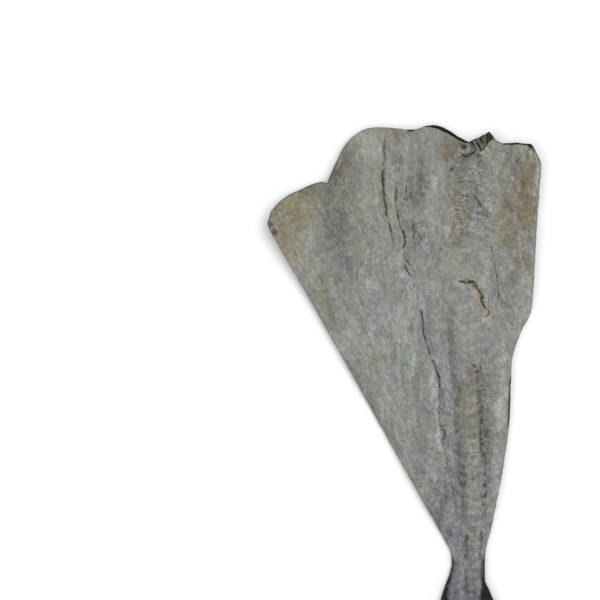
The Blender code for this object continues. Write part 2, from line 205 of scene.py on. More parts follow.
# %% [markdown]
# ## The meat
# Dried meat is one continuous, uneven surface, so it starts from the solid itself: a copy is
# remeshed into small even squares, which keeps the true form and gives enough vertices to
# carve. The underside is hidden by the skin, so a Decimate modifier, held to that side by a
# vertex group, spends few faces on it. The squares beside the splits are cut finer instead.

# %% Tools for meshes
SAME_PLACE = 1e-6
FACES_UP = 0.2
FACES_DOWN = -0.3


def new_object(name, data):
    """An object of the given data, in the scene."""
    obj = bpy.data.objects.new(name, data)
    bpy.context.scene.collection.objects.link(obj)
    return obj


@contextmanager
def edited(data):
    """Opens a mesh for editing and writes it back at the end."""
    mesh = bmesh.new()
    mesh.from_mesh(data)
    yield mesh
    mesh.to_mesh(data)
    mesh.free()


def merged_copy(name):
    """The solid as one connected mesh."""
    mesh = bmesh.new()
    mesh.from_mesh(solid.data)
    bmesh.ops.remove_doubles(mesh, verts=mesh.verts, dist=SAME_PLACE)
    data = bpy.data.meshes.new(name)
    mesh.to_mesh(data)
    mesh.free()
    return new_object(name, data)


def cut_off(obj, y, keep_above):
    """Cuts the object across at y, closes the cut, and keeps one side."""
    place = (0, (y - PLAN_CENTRE[1]) * MM, 0)
    with edited(obj.data) as mesh:
        everything = mesh.verts[:] + mesh.edges[:] + mesh.faces[:]
        found = bmesh.ops.bisect_plane(mesh, geom=everything, plane_co=place, plane_no=(0, 1, 0),
                                       clear_inner=keep_above, clear_outer=not keep_above)
        rim = [item for item in found["geom_cut"] if isinstance(item, bmesh.types.BMEdge)]
        bmesh.ops.holes_fill(mesh, edges=rim)
        bmesh.ops.triangulate(mesh, faces=mesh.faces)


def bake_modifiers(obj):
    """Turns what the object's modifiers make into its own plain mesh."""
    graph = bpy.context.evaluated_depsgraph_get()
    data = bpy.data.meshes.new_from_object(obj.evaluated_get(graph))
    obj.modifiers.clear()
    old, obj.data = obj.data, data
    bpy.data.meshes.remove(old)
    data.name = obj.name


def remesh(obj, size):
    """Even squares of the given size over the whole object."""
    modifier = obj.modifiers.new("squares", "REMESH")
    modifier.mode = "VOXEL"
    modifier.voxel_size = size * MM
    modifier.use_smooth_shade = True
    bake_modifiers(obj)


def triples(items, name):
    """A property of three numbers, read from every vertex, normal or face."""
    flat = np.empty(len(items) * 3)
    items.foreach_get(name, flat)
    return flat.reshape(-1, 3)


def corners(data):
    """The vertices of a mesh, in millimetres of the plan."""
    return triples(data.vertices, "co") / MM + PLAN_CENTRE


def facing_up(data):
    """How far each vertex faces up, from -1 to 1."""
    return triples(data.vertex_normals, "vector")[:, 2]


def move_to(data, points):
    """Moves the vertices to the given points of the plan."""
    data.vertices.foreach_set("co", ((points - PLAN_CENTRE) * MM).ravel())
    data.update()


print("solid:", len(solid.data.polygons), "faces")

# %% Remesh a copy of the solid
VOXEL = 1.22
MEAT_END = -227.0
UNDER_RATIO = 0.55
UNDERSIDE = -0.5
SHARPEST = 1000.0


def thin_underside(obj, ratio):
    """Takes faces away on the side that nothing shows of."""
    group = obj.vertex_groups.new(name="under")
    group.add([int(i) for i in np.nonzero(facing_up(obj.data) < UNDERSIDE)[0]], 1.0, "REPLACE")
    modifier = obj.modifiers.new("thin", "DECIMATE")
    modifier.ratio = ratio
    modifier.vertex_group = group.name
    modifier.vertex_group_factor = SHARPEST
    bake_modifiers(obj)
    obj.vertex_groups.clear()


meat = merged_copy("meat")
cut_off(meat, MEAT_END, True)
remesh(meat, VOXEL)
squares = len(meat.data.polygons)
thin_underside(meat, UNDER_RATIO)
print("meat:", squares, "squares, then", len(meat.data.polygons), "faces")

# %% The splits
# Each split: line, half width, depth, lip on its left, lip on its right, reach of the lips, gaps, painted
# shade inside
SPLITS = [
    (TOP_SPLIT, 0.32, 0.9, 0.1, 0.3, 3, 0.9, 0.6),
    (LONG_SPLIT, 0.65, 1.7, 0.1, 0.5, 4, 0.3, 1.0),
    (LOW_SPLIT, 0.25, 0.9, 0.1, 0.3, 3, 0.6, 0.55),
    (NAPE_SPLIT, 0.3, 0.5, 0.2, 0.2, 3, 0.9, 0.15),
    (SPINE_CUT, 0.38, 1.1, 0.3, 0.8, 3, 1.0, 0.7),
    (SPINE_CUT_END, 0.85, 1.4, 0.3, 0.5, 3, 0.4, 1.0),
    (UPPER_DASH, 0.5, 0.9, 0.2, 0.3, 3, 0.4, 0.8),
    (LOWER_DASH, 0.5, 0.9, 0.9, 0.3, 3, 0.4, 0.85),
    (CUT_BEADS, 0.35, 0.8, 0.3, 0.3, 3, 1.5, 0.7),
    (SIDE_CUT, 0.5, 0.8, 0.3, 0.3, 3, 0.6, 0.7),
    (REAR_CUT, 0.6, 2.2, 0.2, 0.6, 4, 0.6, 1.0),
    (REAR_SEAM, 0.3, 1.2, 0.1, 1.1, 4, 1.2, 0.75),
    (POCKET, 0.5, 1.2, 0.1, 0.8, 4, 0.7, 0.85),
    (POCKET_HOOK, 0.3, 0.7, 0.3, 0.6, 3, 0.8, 0.35),
    (BACKBONE_END, 0.75, 1.6, 0.6, 0.7, 4, 0.7, 0.8),
    (SCRAP_FOLD, 0.9, 1.8, 0.4, 0.2, 3, 0.3, 1.0),
    (LOBE_EDGE, 0.5, 1.4, 0.4, 0.0, 4, 0.3, 0.9),
    (SMALL_SPLIT, 0.3, 0.5, 0.5, 0.5, 3, 1.0, 0.0),
    (TAIL_SEAM, 0.25, 0.4, 0.4, 0.2, 3, 0.9, 0.3),
    (WALL_CUT, 0.5, 0.7, 0.3, 0.1, 3, 1.2, 0.45),
    (WALL_FOOT, 0.3, 0.6, 0.2, 0.2, 3, 1.3, 0.35),
    (FLAP_SEAM, 0.3, 0.7, 0.9, 0.2, 3, 1.4, 0.2),
]
print("splits:", len(SPLITS))


# %% How open and deep a split is, and how much painted shade darkens it inside
def jagged(x, y):
    """The same places pushed about a little, so that a line drawn through them is jagged."""
    dx = 0.9 * cloud(x, y, 2.2, 2.6, 11) + 0.6 * cloud(x, y, 7, 8, 12)
    dy = 0.7 * cloud(x, y, 2.6, 2.2, 13)
    return x + dx, y + dy


def openness(x, y, share, gaps):
    """How open a split is along its length: tapered at its ends, and closed here and there."""
    ends = smooth(0, 0.12, share) * smooth(1, 0.88, share)
    return (0.2 + 0.8 * ends) * (1 + gaps * 1.3 * cloud(x, y, 4, 5, 14))


def split_painted_shade(x, y):
    """How much painted shade darkens the nearest split inside."""
    jx, jy = jagged(x, y)
    nearest = np.full(np.shape(x), 99.0)
    dark = np.ones(np.shape(x))
    for line, _, _, _, _, _, gaps, darkness in SPLITS:
        away, _, share = from_line(line, jx, jy)
        here = darkness * np.clip(openness(x, y, share, gaps), 0, 1)
        dark = np.where(away < nearest, here, dark)
        nearest = np.minimum(nearest, away)
    return dark


def split_edge(x, y):
    """Distance past the edge of the nearest split: below 0 inside one."""
    jx, jy = jagged(x, y)
    nearest = np.full(np.shape(x), 99.0)
    for line, half_width, _, _, _, _, gaps, _ in SPLITS:
        away, _, share = from_line(line, jx, jy)
        nearest = np.minimum(nearest, away - half_width * openness(x, y, share, gaps))
    return nearest


def split_relief(x, y):
    """The carved splits and the lips that dried up beside them."""
    jx, jy = jagged(x, y)
    total = np.zeros(np.shape(x))
    for line, half_width, depth, left_lip, right_lip, reach, gaps, _ in SPLITS:
        away, side, share = from_line(line, jx, jy)
        fade = np.clip(openness(x, y, share, gaps), 0, 1) * smooth(0, 0.1, share) * smooth(1, 0.9, share)
        total -= depth * fade * smooth(half_width + 0.8, half_width * 0.4, away)
        lip = np.where(side > 0, left_lip, right_lip) * (1 + 0.6 * cloud(x, y, 3.5, 4.5, 15))
        total += lip * fade * np.exp(-away / reach) * smooth(half_width * 0.6, half_width + 0.9, away)
    return total


in_split = np.array(LONG_SPLIT[2:3]).T
print("middle of the long split:", round(float(split_relief(*in_split)[0]), 1), "mm")

# %% Cut the squares beside the splits finer
FINE_REACH = 1.62


def cut_finer(obj, chosen):
    """Cuts the edges of the chosen faces in three, which makes nine of each of those faces."""
    with edited(obj.data) as mesh:
        mesh.faces.ensure_lookup_table()
        edges = {edge for index in np.nonzero(chosen)[0] for edge in mesh.faces[index].edges}
        bmesh.ops.subdivide_edges(mesh, edges=list(edges), cuts=2, use_grid_fill=True)
        bmesh.ops.triangulate(mesh, faces=[face for face in mesh.faces if len(face.verts) > 4])


middles = triples(meat.data.polygons, "center") / MM + PLAN_CENTRE
face_up = np.array([polygon.normal.z for polygon in meat.data.polygons]) > FACES_UP
near_split = split_edge(middles[:, 0], middles[:, 1]) < FINE_REACH
cut_finer(meat, face_up & near_split)
print("meat:", len(meat.data.polygons), "faces,", int((face_up & near_split).sum()), "cut finer")

# %% Heights of the solid, read from above and from below
solid_tree = BVHTree.FromPolygons([vertex.co for vertex in solid.data.vertices],
                                  [polygon.vertices for polygon in solid.data.polygons])


def solid_height(x, y, from_above):
    """Height of the solid's top or underside at each place, in millimetres."""
    start = 0.1 if from_above else -0.1
    way = Vector((0, 0, -1 if from_above else 1))
    heights = np.zeros(len(x))
    for i, (px, py) in enumerate(zip((x - PLAN_CENTRE[0]) * MM, (y - PLAN_CENTRE[1]) * MM)):
        hit = solid_tree.ray_cast(Vector((px, py, start)), way)[0]
        if hit is None:
            hit = solid_tree.find_nearest(Vector((px, py, 0.0)))[0]
        heights[i] = hit.z
    return heights / MM


def smooth_heights(data, passes):
    """Averages each vertex's height with its neighbours', some passes long."""
    pairs = np.empty(len(data.edges) * 2, int)
    data.edges.foreach_get("vertices", pairs)
    a, b = pairs.reshape(-1, 2).T
    points = corners(data)
    count = np.bincount(a, minlength=len(points)) + np.bincount(b, minlength=len(points))
    z = points[:, 2]
    for _ in range(passes):
        total = np.bincount(a, z[b], len(points)) + np.bincount(b, z[a], len(points))
        z = z + 0.5 * (total / count - z)
    return z


loin = (np.array([30.0]), np.array([170.0]))
loin_thick = solid_height(*loin, True) - solid_height(*loin, False)
print("right loin:", round(float(loin_thick[0]), 1), "mm thick")

# %% [markdown]
# ## Fibres that flow
# Muscle fibres run from the nape to the tail, but lean outwards on the belly wall and lie
# almost across beside the backbone. `flow` gives their direction at each place. `combed`
# takes fine noise and averages it along that direction, as a comb drags wet paint, so the
# same noise turns into strands that bend with the meat.

# %% Direction of the fibres, and noise combed along them
def fibre_lean(x, y):
    """How far the fibres lean outwards from the line to the tail, in radians: above 0 to the right."""
    lean = np.arctan2(66.0 - x, y + 330.0) + 0.12 * smooth(0, -90, x)
    belly = smooth(38, 60, x) * smooth(40, 95, y) * smooth(125, 98, x)
    spine_away, spine_side, _ = from_line(BACKBONE, x, y)
    beside_spine = smooth(110, 70, y) * smooth(-190, -150, y)
    lean = lean + math.radians(40) * belly
    wall = smooth(38, 52, x) * smooth(98, 84, x) * smooth(122, 140, y) * smooth(238, 222, y)
    lean = lean + math.radians(30) * wall
    lean = lean + math.radians(75) * beside_spine * smooth(11, 6, spine_away) * spine_side
    trench = beside_spine * bump(17, 7, spine_away)
    lean = lean + math.radians(55) * trench * np.where(spine_side < 0, 1, -1)
    lean = lean + math.radians(62) * bump(39, 6, x) * smooth(-38, -46, y) * smooth(-76, -66, y)
    return lean + 0.5 * cloud(x, y, 16, 20, 41)


def flow(x, y):
    """Unit direction of the fibres at each place, towards the tail."""
    lean = fibre_lean(x, y)
    return np.sin(lean), -np.cos(lean)


def combed(x, y, width, steps, seed):
    """Noise of the given width, averaged along the fibres."""
    total = cloud(x, y, width, width, seed)
    for way in (1, -1):
        px, py = x, y
        for _ in range(steps):
            dx, dy = flow(px, py)
            px, py = px + way * width * dx, py + way * width * dy
            total = total + cloud(px, py, width, width, seed)
    return total / math.sqrt(2 * steps + 1)


def ridged(x, y, width, length, seed):
    """Noise with thin winding crests, from -1 to 1."""
    return 1 - 4 * np.abs(cloud(x, y, width, length, seed))


print("fibres of the right loin lean:", round(math.degrees(float(fibre_lean(*loin)[0]))), "degrees")

# %% Relief of the backbone
VERTEBRAE = 30


def vertebra_beat(x, y):
    """1 on the rim of each vertebra and -1 between two, in arcs across the backbone."""
    away, _, share = from_line(BACKBONE, x, y)
    arch = share + 0.0012 * away + 0.0025 * cloud(x, y, 5, 5, 42) + 0.005 * cloud(x, y, 12, 14, 44)
    wave = np.cos(2 * math.pi * VERTEBRAE * arch)
    return wave + 0.35 * np.cos(4 * math.pi * VERTEBRAE * arch + 0.8)


def joint_pits(x, y):
    """1 in the dark pits where ribs met the backbone, one at each joint, most of them on its right."""
    beat = smooth(0.25, 1.0, -vertebra_beat(x, y))
    jx, jy = jagged(x, y)
    right, _, share = from_line(BLOOD_LINE, jx, jy)
    left, _, left_share = from_line(LEFT_FLANK, jx, jy)
    right_pits = bump(0, 1.6, right) * smooth(0, 0.04, share) * smooth(1, 0.7, share)
    left_pits = 0.6 * bump(0, 1.8, left) * smooth(0.6, 0.7, left_share) * smooth(0.95, 0.85, left_share)
    crumbs = smooth(0.35, 0.7, cloud(x, y, 2.4, 2.4, 43)) * bump(0, 3.0, right) * (share > 0) * (share < 1)
    return np.clip(beat * (right_pits + left_pits) + 0.6 * crumbs, 0, 1)


def spine_relief(x, y):
    """Scallops of the vertebrae, the pits beside them and the hollow down their left."""
    away, _, share = from_line(BACKBONE, x, y)
    seen = smooth(0.35, 0.55, share) * smooth(1.0, 0.94, share)
    scallops = 0.3 * vertebra_beat(x, y) * bump(0, 10, away) * seen
    jx, jy = jagged(x, y)
    left, _, left_share = from_line(LEFT_FLANK, jx, jy)
    vein, _, vein_share = from_line(BLOOD_LINE, jx, jy)
    hollow = 0.35 * bump(0, 4.2, left) * smooth(0, 0.15, left_share) * smooth(1, 0.9, left_share)
    torn = 0.3 * bump(0, 3.0, vein) * smooth(0, 0.08, vein_share) * smooth(1, 0.92, vein_share)
    return scallops - hollow - torn - 0.9 * joint_pits(x, y)


print("vertebrae:", VERTEBRAE)


# %% Relief of the dried surface
def curled(x, y, size, seed):
    """Thin winding crests, bent into curls, from -1 to 1."""
    bent_x = x + 0.9 * size * cloud(x, y, 2 * size, 2 * size, seed + 200)
    bent_y = y + 0.9 * size * cloud(x, y, 2 * size, 2 * size, seed + 300)
    return ridged(bent_x, bent_y, 0.8 * size, 1.5 * size, seed)


def crag_relief(x, y):
    """The uneven dried surface, from broad swells down to curls and warts."""
    swells = 0.5 * cloud(x, y, 15, 32, 21)
    crags = 0.3 * combed(x, y, 4.5, 2, 22) + 0.3 * cloud(x, y, 5, 5, 29) + 0.25 * curled(x, y, 6, 23)
    strands = 0.25 * combed(x, y, 2.2, 3, 24) + 0.22 * curled(x, y, 3.6, 28) + 0.2 * cloud(x, y, 2.5, 2.5, 30)
    crust = 0.3 * smooth(0.1, 0.35, cloud(x, y, 4.5, 6, 25) + 0.4 * cloud(x, y, 20, 30, 26))
    warts = 0.4 * smooth(0.5, 0.9, cloud(x, y, 2.6, 2.6, 27))
    return swells + crags + strands + crust + warts


print("surface of the right loin:", round(float(crag_relief(*loin)[0]), 1), "mm")

# %% Carve the meat
SMOOTH_PASSES = 12
SKIN_TOP = 2.0
SUNK = 0.7
UNDER_LIFT = 0.9


def bare_rim(x):
    """Width of the skin that shows past the meat along the nape."""
    hump = 3.0 * smooth(21, 32, x) * smooth(70, 60, x)
    corner = 4.2 * bump(125.5, 3.2, x)
    return np.maximum.reduce([hump, 1.7 * bump(6.5, 3.5, x), 1.6 * smooth(96, 100, x), corner])


def past_stalk(x, y):
    """How far past the sides of the stalk's meat a place is: above 0 where the fin is bare."""
    left = np.maximum(line_x(LEFT_EDGE, y) + 1.7, 43.5)
    right = 78.3 - 1.6 * smooth(-198, -212, y)
    sides = np.maximum(left - x, x - right)
    ragged = (0.5 + 0.7 * smooth(-192, -208, y)) * cloud(x, y, 2.5, 3.5, 51)
    return sides + ragged - 3 * smooth(-177, -168, y)


points = corners(meat.data)
up = facing_up(meat.data)
x, y = points[:, 0], points[:, 1]
on_top = up > 0.25
base = np.zeros(len(points))
base[on_top] = solid_height(x[on_top], y[on_top], False)
smoothed = smooth_heights(meat.data, SMOOTH_PASSES)
form = np.where(on_top, smoothed, points[:, 2])
thick = form - base
full = smooth(2.0, 5.0, thick)
relief = crag_relief(x, y) * (0.5 + 0.5 * full) + split_relief(x, y) * full + spine_relief(x, y)
carved = np.maximum(form + relief, base + SKIN_TOP + 0.4 * (y < -190))
ragged = 0.6 * cloud(x, y, 2.5, 3.5, 51)
end_slope = smooth(MEAT_END, MEAT_END + 12, y + 3 * cloud(x, y, 4, 4, 53))
carved = base + (carved - base) * (0.35 + 0.65 * end_slope)
rim = bare_rim(x) - from_line(NAPE_EDGE, x, y)[0] + ragged - 9 * (y < 225)
ends = np.maximum(smooth(-0.7, 0.7, rim), smooth(-0.7, 0.7, np.where(y < -160, past_stalk(x, y), -1)))
ends = np.maximum(ends, (thick < SKIN_TOP) & (y > -190))
carved = base + SUNK + (carved - base - SUNK) * (1 - ends)
sunk = ends > 0.3
form = np.where(on_top, carved, np.where(up < FACES_DOWN, points[:, 2] + UNDER_LIFT, points[:, 2]))
move_to(meat.data, np.column_stack([x, y, form]))
print("meat: relief from", round(relief.min(), 1), "to", round(relief.max(), 1), "mm")

# %% [markdown]
# ## Writing trees as formulas
# A material of noise, masks and stains is a long sum. Written as nodes by hand it would hide
# what it means, so one small class wraps an output of a node, and Python's operators on it
# add the Math nodes. The same class serves Geometry Nodes. Colours go through Mix nodes,
# since a Math node would turn them grey.

# %% A small language for node trees
class Link:
    """One output of a node. Arithmetic on it adds Math nodes to its tree."""

    def __init__(self, maker, socket):
        self.maker = maker
        self.socket = socket

    def _math(self, kind, *values):
        return self.maker.node("ShaderNodeMath", {"operation": kind}, *values)

    def __add__(self, other):
        return self._math("ADD", self, other)

    def __radd__(self, other):
        return self._math("ADD", other, self)

    def __sub__(self, other):
        return self._math("SUBTRACT", self, other)

    def __rsub__(self, other):
        return self._math("SUBTRACT", other, self)

    def __mul__(self, other):
        return self._math("MULTIPLY", self, other)

    def __rmul__(self, other):
        return self._math("MULTIPLY", other, self)

    def __abs__(self):
        return self._math("ABSOLUTE", self)

    def sine(self):
        return self._math("SINE", self)

    def step(self, low, high):
        """0 up to low and 1 from high on, with an S between. low may be the larger."""
        if low > high:
            return 1 - self.step(high, low)
        settings = {"interpolation_type": "SMOOTHSTEP"}
        return self.maker.node("ShaderNodeMapRange", settings, self, low, high, 0.0, 1.0)


class Maker:
    """Adds nodes to a tree."""

    def node(self, kind, settings, *values, output=0, **named):
        """Adds a node: its settings first, then its inputs, in order or by name."""
        made = self.tree.nodes.new(kind)
        for name, value in settings.items():
            setattr(made, name, value)
        inputs = [socket for socket in made.inputs if socket.enabled]
        for socket, value in zip(inputs, values):
            self.feed(socket, value)
        for name, value in named.items():
            self.feed(next(s for s in inputs if s.name.replace(" ", "") == name), value)
        outputs = [socket for socket in made.outputs if socket.enabled]
        return Link(self, outputs[output])

    def feed(self, socket, value):
        if isinstance(value, Link):
            self.tree.links.new(value.socket, socket)
        elif socket.type == "RGBA" and len(value) == 3:
            socket.default_value = (*value, 1.0)
        else:
            socket.default_value = value


class Paint(Maker):
    """A material, built up from nodes."""

    def __init__(self, name):
        self.material = bpy.data.materials.new(name)
        self.material.use_nodes = True
        self.tree = self.material.node_tree
        self.shader = self.tree.nodes["Principled BSDF"]

    def place(self):
        return self.node("ShaderNodeTexCoord", {}, output=3)

    def colour_of(self, name):
        return self.node("ShaderNodeAttribute", {"attribute_name": name}, output=0)

    def number_of(self, name):
        return self.node("ShaderNodeAttribute", {"attribute_name": name}, output=2)

    def noise(self, vector, scale, detail=3.0, roughness=0.55, output=0):
        return self.node("ShaderNodeTexNoise", {}, Vector=vector, Scale=scale, Detail=detail,
                         Roughness=roughness, output=output)

    def cells(self, vector, scale):
        return self.node("ShaderNodeTexVoronoi", {"feature": "F1"}, Vector=vector, Scale=scale)

    def stretched(self, vector, scale):
        return self.node("ShaderNodeVectorMath", {"operation": "MULTIPLY"}, vector, scale)

    def grey(self, value):
        return self.node("ShaderNodeCombineColor", {}, value, value, value)

    def mix(self, factor, first, second, blend="MIX"):
        return self.node("ShaderNodeMix", {"data_type": "RGBA", "blend_type": blend}, factor, first, second)

    def bump(self, height, distance, strength=1.0):
        return self.node("ShaderNodeBump", {}, Strength=strength, Distance=distance, Height=height)

    def finish(self, colour, roughness, normal=None, shine=0.5):
        """Feeds the shader and returns the material. 0.5 is the usual shine, and 0 is none."""
        for name, value in (("Base Color", colour), ("Roughness", roughness), ("Normal", normal)):
            if value is not None:
                self.feed(self.shader.inputs[name], value)
        self.shader.inputs["Specular IOR Level"].default_value = shine
        return self.material


def linear(colour):
    """Screen values, 0 to 255, turned into Blender's linear ones."""
    share = np.asarray(colour, float) / 255
    return np.where(share <= 0.04045, share / 12.92, ((share + 0.055) / 1.055) ** 2.4)


def srgb(red, green, blue):
    """One colour as it looks on a screen, in Blender's linear values."""
    return tuple(float(value) for value in linear((red, green, blue)))


print("middle grey on a screen:", round(srgb(128, 128, 128)[0], 3), "in Blender")

# %% [markdown]
# ## Stains on the meat
# Drying leaves broad soft stains: tan where fat showed on the belly flaps, grey where the
# loins stayed damp, blue-grey along the trench beside the backbone, brown where blood dried.
# Some are painted shade and light instead: shade in the crease by the left flap, in the
# hollow of the right loin, down the left of the backbone's ridge, beside the cut end of the
# backbone and along the long split, and light on the crest of the right loin.
# Most are ellipses with a soft edge, others follow a line, and the smallest are round marks.
# Each is laid over the one before, and what they add up to is stored as a colour on the
# vertices. Noise pushes their edges about, so they don't read as ellipses.

# %% The broad stains
MEAT_COLOUR = (139, 140, 134)

